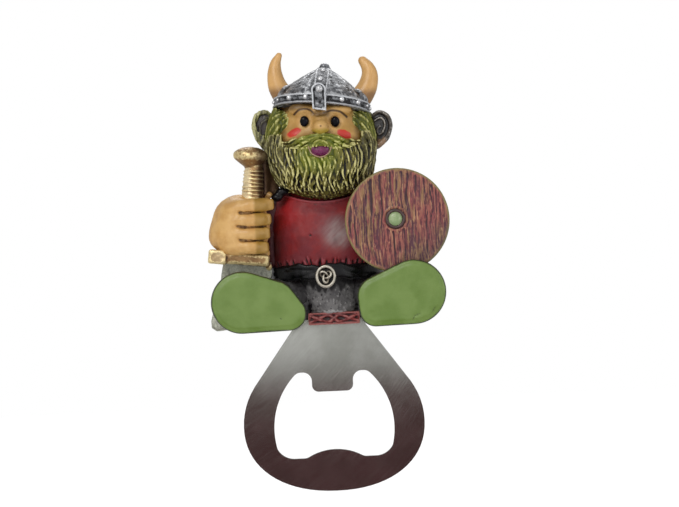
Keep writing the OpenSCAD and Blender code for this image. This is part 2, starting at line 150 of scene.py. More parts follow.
def rod(start, end, r0, r1):
    """Straight rod with round ends, its radius going from r0 to r1."""
    a, b = np.array(start, float), np.array(end, float)
    run = b - a
    span = max(float(run @ run), 1e-9)

    def dist(x, y, z):
        t = ((x - a[0]) * run[0] + (y - a[1]) * run[1] + (z - a[2]) * run[2]) / span
        t = np.clip(t, 0, 1)
        away = (x - a[0] - t * run[0]) ** 2 + (y - a[1] - t * run[1]) ** 2 + (z - a[2] - t * run[2]) ** 2
        return np.sqrt(away) - (r0 + (r1 - r0) * t)

    r = max(r0, r1)
    return Form(dist, np.minimum(a, b) - r, np.maximum(a, b) + r)


def block(centre, half, edge, turn=None):
    """Box with rounded edges."""
    cx, cy, cz = centre
    hx, hy, hz = (h - edge for h in half)

    def dist(x, y, z):
        px, py, pz = x - cx, y - cy, z - cz
        if turn is not None:
            px, py, pz = (turn[0, i] * px + turn[1, i] * py + turn[2, i] * pz for i in range(3))
        qx, qy, qz = np.abs(px) - hx, np.abs(py) - hy, np.abs(pz) - hz
        out = np.sqrt(np.maximum(qx, 0) ** 2 + np.maximum(qy, 0) ** 2 + np.maximum(qz, 0) ** 2)
        return out + np.minimum(np.maximum(qx, np.maximum(qy, qz)), 0) - edge

    reach = np.array(half, float) if turn is None else np.full(3, float(np.linalg.norm(half)))
    return Form(dist, np.array(centre) - reach, np.array(centre) + reach)


def slab_of(outline, y_middle, half_t, edge, low, high):
    """Plate in the XZ plane with the given outline distance and rounded edges."""

    def dist(x, y, z):
        qx = outline(x, z) + edge
        qy = np.abs(y - y_middle) - half_t + edge
        out = np.sqrt(np.maximum(qx, 0) ** 2 + np.maximum(qy, 0) ** 2)
        return out + np.minimum(np.maximum(qx, qy), 0) - edge

    return Form(dist, (low[0], y_middle - half_t, low[1]), (high[0], y_middle + half_t, high[1]))


def placed(form, origin, turn):
    """A form drawn in its own frame, turned and then moved to its origin."""

    def dist(x, y, z):
        p = (x - origin[0], y - origin[1], z - origin[2])
        return form.dist(*(turn[0, i] * p[0] + turn[1, i] * p[1] + turn[2, i] * p[2] for i in range(3)))

    ends = [(a, b, c) for a in (0, 1) for b in (0, 1) for c in (0, 1)]
    span = form.high - form.low
    tips = np.array([turn @ (form.low + span * end) + origin for end in ends])
    return Form(dist, tips.min(0), tips.max(0))


class Barrel:
    """Upright form with elliptical levels: rows of height, centre x, centre y, half x, half y."""

    def __init__(self, origin, rows):
        shift = np.array([origin[2], origin[0], origin[1], 0, 0])
        self.rows = (np.array(sorted(rows), float) + shift).T
        z, cx, cy, a, b = self.rows
        slope = np.gradient((a + b) / 2, z)
        self.level = 1 / np.sqrt(1 + slope**2)
        self.form = Form(
            self.dist, ((cx - a).min(), (cy - b).min(), z.min()), ((cx + a).max(), (cy + b).max(), z.max())
        )

    def dist(self, x, y, z):
        table = self.rows
        cx, cy, a, b = (np.interp(z, table[0], row) for row in table[1:])
        px, py = (x - cx) / a, (y - cy) / b
        near = np.sqrt(px**2 + py**2)
        steep = np.sqrt((px / a) ** 2 + (py / b) ** 2) + 1e-6
        side = near * (near - 1) / steep * np.interp(z, table[0], self.level)
        return np.maximum(side, np.maximum(z - table[0][-1], table[0][0] - z))

    def on(self, angle, z, lift=0.0):
        """Place on the side of the form, at an angle in degrees from its front."""
        cx, cy, a, b = (np.interp(z, self.rows[0], row) for row in self.rows[1:])
        turn = math.radians(angle)
        return np.array([cx + (a + lift) * math.sin(turn), cy - (b + lift) * math.cos(turn), z])


def overlap(*forms):
    """What all the forms share."""

    def dist(x, y, z):
        total = forms[0].dist(x, y, z)
        for form in forms[1:]:
            total = np.maximum(total, form.dist(x, y, z))
        return total

    return Form(dist, np.max([f.low for f in forms], 0), np.min([f.high for f in forms], 0))


def drape(form, places_xz, lift=0.0, start=-30.0, stop=-1.0):
    """Places on the front of a form, at the given x and z."""
    out = []
    for x, z in places_xz:
        y = np.linspace(start, stop, 900)
        inside = form.dist(x, y, z) < 0
        first = y[np.argmax(inside)] if inside.any() else stop
        out.append((x, first - lift, z))
    return np.array(out)


def plane(axis, level, keep_above):
    """Half space on one side of a level along an axis."""
    sign = -1.0 if keep_above else 1.0

    def dist(x, y, z):
        return sign * ((x, y, z)[axis] - level) + 0 * (x + y + z)

    return Form(dist, (-200,) * 3, (200,) * 3)


def smooth_min(a, b, k):
    """The lesser of two distances, rounded where they meet over k millimetres."""
    if k <= 0:
        return np.minimum(a, b)
    h = np.maximum(k - np.abs(a - b), 0) / k
    return np.minimum(a, b) - h * h * k / 4


def joined(k, *forms):
    """Forms melted into each other over k millimetres."""

    def dist(x, y, z):
        total = forms[0].dist(x, y, z)
        for form in forms[1:]:
            total = smooth_min(total, form.dist(x, y, z), k)
        return total

    return Form(dist, np.min([f.low for f in forms], 0), np.max([f.high for f in forms], 0))


def curve(points, count):
    """Places along a smooth curve through the given points."""
    pts = np.array(points, float)
    pts = np.vstack([2 * pts[0] - pts[1], pts, 2 * pts[-1] - pts[-2]])
    out = []
    for s in np.linspace(0, len(pts) - 3 - 1e-6, count):
        i, t = int(s), s - int(s)
        p0, p1, p2, p3 = pts[i:i + 4]
        out.append(
            0.5 * (2 * p1 + (p2 - p0) * t + (2 * p0 - 5 * p1 + 4 * p2 - p3) * t**2
                   + (3 * p1 - p0 - 3 * p2 + p3) * t**3)
        )
    return np.array(out)


def profile(count, values, shares=None):
    """Numbers along count places: the values, evenly spaced or at the given shares of the way."""
    if shares is None:
        shares = np.linspace(0, 1, len(values))
    return np.interp(np.linspace(0, 1, count), shares, values)


# ------------------------------------------------------------------ clay

class Clay:
    """A block of sampled distance that forms are added to and cut from."""

    def __init__(self, form, step, margin=1.5):
        self.step = step
        self.low = form.low - margin
        self.count = np.ceil((form.high + margin - self.low) / step).astype(int) + 1
        self.d = np.full(self.count, FAR, np.float32)
        self.add(form)

    def window(self, form, reach):
        """The cells within reach of a form, and the coordinates along their three axes."""
        first = np.clip(np.floor((form.low - reach - self.low) / self.step).astype(int), 0, self.count)
        last = np.clip(np.ceil((form.high + reach - self.low) / self.step).astype(int) + 1, 0, self.count)
        cells = tuple(slice(a, b) for a, b in zip(first, last))
        axes = [
            (self.low[i] + self.step * np.arange(first[i], last[i])).astype(np.float32) for i in range(3)
        ]
        return cells, (axes[0][:, None, None], axes[1][None, :, None], axes[2][None, None, :])

    def add(self, form, k=0.0):
        """Adds a form, melted in over k millimetres."""
        cells, (x, y, z) = self.window(form, k + SKIN_DEPTH * self.step)
        if 0 not in self.d[cells].shape:
            self.d[cells] = smooth_min(self.d[cells], form.dist(x, y, z), k)
        return self

    def cut(self, form, k=0.0):
        """Carves a form out, its edge rounded over k millimetres."""
        cells, (x, y, z) = self.window(form, k + SKIN_DEPTH * self.step)
        if 0 not in self.d[cells].shape:
            self.d[cells] = -smooth_min(-self.d[cells], form.dist(x, y, z), k)
        return self

    def add_strand(self, places, radii, k=0.0):
        """Adds a rod along a line of places."""
        for i in range(len(places) - 1):
            self.add(rod(places[i], places[i + 1], radii[i], radii[i + 1]), k)
        return self

    def cut_strand(self, places, radii, k=0.0):
        """Carves a groove along a line of places."""
        for i in range(len(places) - 1):
            self.cut(rod(places[i], places[i + 1], radii[i], radii[i + 1]), k)
        return self

    def front(self, places_xz, lift=0.0):
        """Places on the front of the clay, at the given x and z."""
        out = []
        for x, z in places_xz:
            i, k = (int(round(v)) for v in ((x - self.low[0]) / self.step, (z - self.low[2]) / self.step))
            column = self.d[i, :, k]
            first = int(np.argmax(column < 0)) if (column < 0).any() else len(column) // 2
            out.append((x, self.low[1] + first * self.step - lift, z))
        return np.array(out)

    def skin(self):
        """Vertices in millimetres and quads."""
        grid = openvdb.FloatGrid(FAR)
        grid.copyFromArray(np.clip(self.d, -FAR, FAR))
        points, quads = grid.convertToQuads(isovalue=0.0)
        return points.astype(float) * self.step + self.low, quads.astype(int)


def noise(p, size, seed=0):
    """Smooth random numbers from -1 to 1 at points p, with lumps of the given size in mm."""
    q = p / np.array(size, float)
    cell = np.floor(q).astype(np.int64)
    f = q - cell
    f = f * f * (3 - 2 * f)
    total = 0
    for dx in (0, 1):
        for dy in (0, 1):
            for dz in (0, 1):
                h = ((cell[:, 0] + dx) * 73856093) ^ ((cell[:, 1] + dy) * 19349663)
                h = h ^ ((cell[:, 2] + dz) * 83492791) ^ (seed * 2654435761)
                h = ((h ^ (h >> 13)) * 1274126177) & 0xFFFFFFFF
                value = ((h ^ (h >> 16)) & 0xFFFF) / 32767.5 - 1
                weight = (
                    (f[:, 0] if dx else 1 - f[:, 0])
                    * (f[:, 1] if dy else 1 - f[:, 1])
                    * (f[:, 2] if dz else 1 - f[:, 2])
                )
                total = total + value * weight
    return total


def rough(p, size, seed=0):
    """Two sizes of noise together."""
    return 0.65 * noise(p, size, seed) + 0.35 * noise(p, np.array(size) / 2.3, seed + 5)


def normals_of(points, quads):
    """Unit normals at the vertices of a quad mesh."""
    a, b, c, d = (points[quads[:, i]] for i in range(4))
    diagonals = np.cross(c - a, d - b)
    total = np.zeros_like(points)
    for i in range(4):
        np.add.at(total, quads[:, i], diagonals)
    return total / (np.linalg.norm(total, axis=1, keepdims=True) + 1e-12)


def ramp(value, low, high):
    """Smooth step from 0 at low to 1 at high."""
    t = np.clip((value - low) / (high - low), 0, 1)
    return t * t * (3 - 2 * t)


def relax(points, quads, passes):
    """Evens out grid steps by moving each vertex to the mean of its neighbours."""
    corner = quads.ravel()
    before, after = np.roll(quads, 1, 1).ravel(), np.roll(quads, -1, 1).ravel()
    share = 0.5 * MOVE / np.bincount(corner, minlength=len(points))
    for _ in range(passes):
        total = np.stack([
            np.bincount(corner, column[before] + column[after], len(points)) for column in points.T
        ], 1)
        points = points * (1 - MOVE) + total * share[:, None]
    return points


# ------------------------------------------------------------------ pieces

def make_piece(node, points, quads, paint, marks):
    """Mesh object that stands for a CAD node, with its numbers for the paint."""
    name = node + "_look"
    mesh = bpy.data.meshes.new(name)
    mesh.from_pydata((points * MM).tolist(), [], quads.tolist())
    mesh.update()
    mesh.polygons.foreach_set("use_smooth", [True] * len(mesh.polygons))
    for mark, values in marks.items():
        layer = mesh.attributes.new(mark, "FLOAT", "POINT")
        layer.data.foreach_set("value", np.asarray(values, np.float32))
    piece = bpy.data.objects.new(name, mesh)
    bpy.context.scene.collection.objects.link(piece)
    mesh.materials.append(paint)
    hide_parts(node)
    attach(piece, "root")
    return piece


def finish_clay(node, clay, slot, relief, marks=None, paint=None, passes=1, span=0.7):
    """Meshes the clay that stands for a node, moves its skin by relief(points) outwards, and marks it.

    The mark 'height' is how far the skin stands above its own average over about span mm. Other marks
    are rules that give a number for each point. The paint is the slot's unless another is named."""
    points, quads = clay.skin()
    points = relax(points, quads, passes)
    points = points + normals_of(points, quads) * relief(points)[:, None]
    level = relax(points, quads, int(round((span / clay.step) ** 2 / MOVE)))
    numbers = {"height": np.sum((points - level) * normals_of(level, quads), 1)}
    for mark, rule in (marks or {}).items():
        numbers[mark] = rule(points)
    return make_piece(node, points, quads, PAINTS[paint or slot], numbers)


# ------------------------------------------------------------------ paint

def srgb(r, g, b):
    """Linear colour from a paint-chart colour of 0 to 255."""
    return tuple(
        (v / 255 / 12.92 if v / 255 <= 0.04045 else ((v / 255 + 0.055) / 1.055) ** 2.4) for v in (r, g, b)
    ) + (1.0,)


class Paint:
    """A material's node tree, built up a node at a time."""

    def __init__(self, name):
        self.material = bpy.data.materials.new(name)
        self.material.use_nodes = True
        self.tree = self.material.node_tree
        self.shader = self.tree.nodes["Principled BSDF"]
        place = self.tree.nodes.new("ShaderNodeTexCoord")
        scale = self.tree.nodes.new("ShaderNodeVectorMath")
        scale.operation = "SCALE"
        scale.inputs["Scale"].default_value = 1 / MM
        self.tree.links.new(place.outputs["Object"], scale.inputs[0])
        self.place = scale.outputs[0]

    def link(self, value, socket):
        """Joins a node's output to a socket, or sets the socket to a plain value."""
        if isinstance(value, bpy.types.NodeSocket):
            self.tree.links.new(value, socket)
        else:
            socket.default_value = value

    def stretched(self, sx, sy, sz):
        """The place in millimetres, squeezed along each axis, for grain that runs one way."""
        node = self.tree.nodes.new("ShaderNodeVectorMath")
        node.operation = "MULTIPLY"
        self.tree.links.new(self.place, node.inputs[0])
        node.inputs[1].default_value = (sx, sy, sz)
        return node.outputs[0]

    def noise(self, size, detail=3.0, rough=0.55, place=None, warp=0.0):
        node = self.tree.nodes.new("ShaderNodeTexNoise")
        self.tree.links.new(self.place if place is None else place, node.inputs["Vector"])
        node.inputs["Scale"].default_value = 1 / size
        node.inputs["Detail"].default_value = detail
        node.inputs["Roughness"].default_value = rough
        node.inputs["Distortion"].default_value = warp
        return node.outputs["Fac"]

    def away(self, spot):
        """Distance in millimetres from a spot, for arcs around it."""
        node = self.tree.nodes.new("ShaderNodeVectorMath")
        node.operation = "DISTANCE"
        self.tree.links.new(self.place, node.inputs[0])
        node.inputs[1].default_value = spot
        return node.outputs["Value"]

    def mark(self, name):
        """A number that the sculpted vertices carry, 0 where a piece hasn't got it."""
        node = self.tree.nodes.new("ShaderNodeAttribute")
        node.attribute_name = name
        return node.outputs["Fac"]

    def ramp(self, value, low, high, to_low=0.0, to_high=1.0):
        """Smooth step from to_low at low to to_high at high."""
        node = self.tree.nodes.new("ShaderNodeMapRange")
        node.interpolation_type = "SMOOTHSTEP"
        self.link(value, node.inputs["Value"])
        node.inputs["From Min"].default_value = low
        node.inputs["From Max"].default_value = high
        node.inputs["To Min"].default_value = to_low
        node.inputs["To Max"].default_value = to_high
        return node.outputs["Result"]

    def math(self, operation, a, b=0.0):
        node = self.tree.nodes.new("ShaderNodeMath")
        node.operation = operation
        self.link(a, node.inputs[0])
        self.link(b, node.inputs[1])
        return node.outputs[0]

    def mix(self, share, a, b):
        """Colour a with a share of colour b over it."""
        node = self.tree.nodes.new("ShaderNodeMix")
        node.data_type = "RGBA"
        self.link(share, node.inputs["Factor"])
        self.link(a, node.inputs["A"])
        self.link(b, node.inputs["B"])
        return node.outputs["Result"]

    def bump(self, height, depth):
        """Fine relief: height of 0 to 1 over a depth in millimetres."""
        node = self.tree.nodes.new("ShaderNodeBump")
        node.inputs["Strength"].default_value = 1.0
        node.inputs["Distance"].default_value = depth * MM
        self.link(height, node.inputs["Height"])
        self.tree.links.new(node.outputs["Normal"], self.shader.inputs["Normal"])

    def finish(self, colour, roughness, metallic=0.0, coat=0.0):
        self.link(colour, self.shader.inputs["Base Color"])
        self.link(roughness, self.shader.inputs["Roughness"])
        self.link(metallic, self.shader.inputs["Metallic"])
        self.shader.inputs["Coat Weight"].default_value = coat
        self.shader.inputs["Coat Roughness"].default_value = 0.2
        return self.material

    def bare_back(self, colour):
        """Bare ivory resin on the sanded flat back, where the paint stops."""
        split = self.tree.nodes.new("ShaderNodeSeparateXYZ")
        self.tree.links.new(self.place, split.inputs[0])
        edge = self.math("ADD", split.outputs["Y"], self.ramp(self.noise(3.0), 0.3, 0.7, -0.12, 0.12))
        share = self.ramp(edge, -0.22, -0.08)
        sanding = self.noise(1.0, 4.0, 0.6, self.stretched(3.0, 1.0, 0.35))
        resin = self.mix(self.ramp(sanding, 0.3, 0.7), srgb(196, 188, 168), srgb(222, 215, 198))
        return self.mix(share, colour, resin)


def wash_and_drybrush(name, body, body_2, wash, brush, *, deep, high, grain, roughness,
                      brush_share, metallic=0.0, coat=0.0, bump_depth=0.05, tints=(), cloudy=0.0, shine=0.5):
    """Two-tone paint, a dark wash low in the relief and a drybrushed colour on its ridges.

    The wash is full below the height deep[0] and gone above deep[1], and the brush colour starts about
    the height high, all in millimetres. Each tint is a mark, its share and its colour."""
    p = Paint(name)
    height = p.mark("height")
    patches = p.ramp(p.noise(grain, 3.0), 0.35, 0.65)
    speckle = p.noise(0.35, 3.0, 0.7)
    colour = p.mix(patches, body, body_2)
    uneven = p.math("ADD", height, p.ramp(speckle, 0.2, 0.8, -0.3 * high, 0.3 * high))
    uneven = p.math("ADD", uneven, p.ramp(p.noise(1.5, 4.0, 0.65), 0.3, 0.7, -cloudy, cloudy))
    colour = p.mix(p.ramp(uneven, deep[1], deep[0]), colour, wash)
    brushed = p.ramp(uneven, high * 0.75, high * 1.35, 0.0, brush_share)
    colour = p.mix(brushed, colour, brush)
    for mark, share, tint in tints:
        colour = p.mix(p.math("MULTIPLY", p.mark(mark), share), colour, tint)
    colour = p.bare_back(colour)
    p.bump(p.noise(0.3, 4.0, 0.65), bump_depth)
    p.shader.inputs["Specular IOR Level"].default_value = shine
    return p.finish(colour, p.ramp(p.noise(0.8, 4.0), 0.3, 0.7, *roughness), metallic, coat)


def steel_paint():
    """Brushed steel: fine curved polishing scratches and faint stains."""
    p = Paint("steel")
    arcs = p.tree.nodes.new("ShaderNodeCombineXYZ")
    p.link(p.math("MULTIPLY", p.away((-70.0, 0.0, 30.0)), 1.3), arcs.inputs["X"])
    p.link(p.math("MULTIPLY", p.away((60.0, 0.0, 40.0)), 0.06), arcs.inputs["Y"])
    fine = p.noise(0.5, 5.0, 0.7, arcs.outputs[0], 0.2)
    cross = p.noise(0.7, 4.0, 0.7, p.stretched(2.4, 1.0, 0.08), 0.6)
    stain = p.noise(9.0, 3.0)
    tone = p.mix(p.ramp(stain, 0.35, 0.65), srgb(176, 177, 170), srgb(192, 193, 187))
    tone = p.mix(p.ramp(fine, 0.55, 0.75, 0.0, 0.32), tone, srgb(226, 226, 221))
    tone = p.mix(p.ramp(cross, 0.60, 0.78, 0.0, 0.16), tone, srgb(128, 128, 124))
    roughness = p.ramp(fine, 0.3, 0.7, 0.16, 0.24)
    p.bump(p.math("ADD", fine, cross), 0.008)
    return p.finish(tone, roughness, 1.0)


def ferrite_paint():
    """Dull grey sintered ferrite."""
    p = Paint("ferrite")
    grain = p.noise(0.4, 5.0, 0.7)
    colour = p.mix(p.ramp(grain, 0.3, 0.7), srgb(38, 38, 41), srgb(66, 66, 70))
    p.bump(grain, 0.03)
    return p.finish(colour, p.ramp(grain, 0.3, 0.7, 0.45, 0.7))


def epoxy_paint():
    """Struck-off adhesive, cloudy and uneven."""
    p = Paint("epoxy")
    cloud = p.noise(2.5, 4.0)
    colour = p.mix(p.ramp(cloud, 0.3, 0.7), srgb(92, 86, 74), srgb(128, 121, 106))
    p.bump(p.noise(0.9, 3.0), 0.12)
    return p.finish(colour, p.ramp(cloud, 0.3, 0.7, 0.3, 0.5))


def sole_paint():
    """Flat green with painted shade and an edge wash on its rounded edge, and small scuffs."""
    p = Paint("sole")
    cloud = p.noise(6.0, 3.0)
    colour = p.mix(p.ramp(cloud, 0.35, 0.65), srgb(96, 123, 46), srgb(107, 133, 58))
    scuff = p.noise(0.9, 5.0, 0.75)
    colour = p.mix(p.ramp(scuff, 0.68, 0.76, 0.0, 0.5), colour, srgb(86, 98, 50))
    # painted shade with some edge wash on the rounded edge behind the front face
    edge = p.math("ADD", p.mark("edge"), p.ramp(scuff, 0.3, 0.7, -0.15, 0.15))
    colour = p.mix(p.ramp(edge, 0.3, 0.85), colour, srgb(46, 56, 28))
    p.bump(p.noise(1.6, 3.0), 0.08)
    return p.finish(colour, p.ramp(cloud, 0.3, 0.7, 0.34, 0.48), 0.0, 0.3)


def skin_paint():
    """Tan with a brown wash in the creases, mustard shading and rouge where marked."""
    p = Paint("skin")
    height, rouge, shade = p.mark("height"), p.mark("rouge"), p.mark("shade")
    cloud = p.noise(2.6, 3.0)
    colour = p.mix(p.ramp(cloud, 0.35, 0.65), srgb(200, 153, 87), srgb(215, 171, 105))
    colour = p.mix(p.math("MULTIPLY", shade, 0.75), colour, srgb(150, 113, 34))
    creases = p.math("ADD", height, p.ramp(p.noise(0.5, 3.0), 0.2, 0.8, -0.02, 0.02))
    colour = p.mix(p.ramp(creases, -0.05, -0.17, 0.0, 0.88), colour, srgb(84, 50, 22))
    # line darkens the cut brows and the nose crease, and paints shade under the helmet and at the temples
    colour = p.mix(p.math("MULTIPLY", p.mark("line"), 0.95), colour, srgb(52, 30, 18))
    # painted reflection: green light from the beard, painted yellow-green where marked beard_reflection
    colour = p.mix(p.math("MULTIPLY", p.mark("beard_reflection"), 0.75), colour, srgb(164, 142, 22))
    colour = p.mix(rouge, colour, srgb(198, 46, 30))
    colour = p.bare_back(colour)
    p.bump(p.noise(0.5, 4.0), 0.04)
    return p.finish(colour, p.ramp(cloud, 0.3, 0.7, 0.38, 0.5), 0.0, 0.1)


def horn_paint():
    """Tan, brown towards the root and in the hollows."""
    p = Paint("horn")
    root = p.mark("root")
    cloud = p.noise(2.0, 4.0, 0.6, p.stretched(1.0, 1.0, 0.4))
    colour = p.mix(p.ramp(cloud, 0.35, 0.65), srgb(206, 158, 94), srgb(220, 172, 108))
    colour = p.mix(p.ramp(root, 0.0, 0.22, 0.75, 0.0), colour, srgb(112, 74, 40))
    colour = p.mix(p.ramp(p.mark("height"), -0.03, -0.12), colour, srgb(140, 98, 56))
    p.bump(p.noise(0.6, 4.0), 0.05)
    return p.finish(colour, p.ramp(cloud, 0.3, 0.7, 0.36, 0.5), 0.0, 0.15)


def gloss_paint(name, body, highlight, roughness=(0.12, 0.3), coat=0.4, shine=0.5):
    """Plain glossy enamel with slight pooling."""
    p = Paint(name)
    cloud = p.noise(1.2, 3.0)
    colour = p.mix(p.ramp(cloud, 0.4, 0.7), body, highlight)
    p.bump(cloud, 0.08)
    p.shader.inputs["Specular IOR Level"].default_value = shine
    return p.finish(p.bare_back(colour), p.ramp(cloud, 0.3, 0.7, *roughness), 0.0, coat)


def gold_paint():
    """Antique gold, brown in the hollows and rubbed bright on the ridges, with painted highlight and painted
    shade where marked.
    """
    p = Paint("gold")
    height = p.mark("height")
    flake = p.noise(0.5, 4.0, 0.7)
    cloud = p.noise(2.4, 3.0)
    colour = p.mix(p.ramp(cloud, 0.35, 0.65), srgb(140, 106, 66), srgb(172, 136, 90))
    uneven = p.math("ADD", height, p.ramp(flake, 0.2, 0.8, -0.03, 0.03))
    colour = p.mix(p.ramp(uneven, -0.01, -0.09), colour, srgb(62, 40, 24))
    colour = p.mix(p.ramp(uneven, 0.03, 0.09), colour, srgb(240, 218, 160))
    # painted highlight on the lit side, where marked bright
    glint = p.math("MULTIPLY", p.mark("bright"), p.ramp(cloud, 0.3, 0.6, 0.4, 1.0))
    colour = p.mix(glint, colour, srgb(250, 230, 186))
    # painted shade on the side away from the light, where marked shade
    colour = p.mix(p.math("MULTIPLY", p.mark("shade"), 0.8), colour, srgb(52, 27, 24))
    p.bump(flake, 0.05)
    return p.finish(colour, p.ramp(flake, 0.3, 0.7, 0.28, 0.44), 0.55)


def mouth_paint():
    """Purple mouth with a cream lower lip."""
    p = Paint("mouth")
    cloud = p.noise(1.2, 3.0)
    colour = p.mix(p.ramp(cloud, 0.4, 0.7), srgb(104, 20, 74), srgb(128, 30, 94))
    colour = p.mix(p.math("MULTIPLY", p.mark("lip"), 0.85), colour, srgb(178, 142, 120))
    p.bump(cloud, 0.05)
    return p.finish(colour, p.ramp(cloud, 0.3, 0.7, 0.22, 0.38), 0.0, 0.2)


def blade_paint():
    """Silver flake paint, darker in the hollows."""
    p = Paint("blade")
    flake = p.noise(0.45, 4.0, 0.7)
    colour = p.mix(p.ramp(flake, 0.3, 0.7), srgb(152, 154, 140), srgb(200, 202, 188))
    colour = p.mix(p.ramp(p.mark("height"), -0.01, -0.07), colour, srgb(90, 92, 92))
    p.bump(flake, 0.04)
    return p.finish(colour, p.ramp(flake, 0.3, 0.7, 0.3, 0.45), 0.6)


def wood_paint():
    """Painted planks: plum grooves, tan and olive ridges, darker towards the lower outer edge."""
    p = Paint("wood")
    height, lower_edge_dark, rim = p.mark("height"), p.mark("lower_edge_dark"), p.mark("rim")
    streak = p.noise(0.9, 4.0, 0.6, p.stretched(1.0, 1.0, 0.16))
    wide = p.noise(3.4, 2.0, 0.5, p.stretched(1.0, 1.0, 0.3))
    lines = p.noise(0.42, 3.0, 0.6, p.stretched(1.0, 1.0, 0.12), 0.5)
    ridge = p.mix(p.ramp(wide, 0.4, 0.62), srgb(150, 84, 72), srgb(140, 106, 68))
    ridge = p.mix(p.ramp(streak, 0.45, 0.65), ridge, srgb(130, 58, 62))
    plum = p.mix(p.ramp(wide, 0.35, 0.65), srgb(98, 38, 48), srgb(84, 38, 54))
    uneven = p.math("ADD", height, p.ramp(streak, 0.2, 0.8, -0.03, 0.03))
    colour = p.mix(p.ramp(uneven, 0.015, -0.04), ridge, plum)
    colour = p.mix(p.ramp(lines, 0.48, 0.38, 0.0, 0.95), colour, srgb(78, 32, 42))
    colour = p.mix(p.ramp(lines, 0.56, 0.66, 0.0, 0.7), colour, srgb(186, 142, 104))
    colour = p.mix(p.ramp(uneven, -0.05, -0.12), colour, srgb(50, 24, 30))
    colour = p.mix(p.math("MULTIPLY", rim, 0.8), colour, srgb(132, 128, 76))
    colour = p.mix(p.math("MULTIPLY", lower_edge_dark, 0.38), colour, srgb(56, 40, 50))
    p.bump(streak, 0.08)
    return p.finish(colour, p.ramp(streak, 0.3, 0.7, 0.42, 0.6))


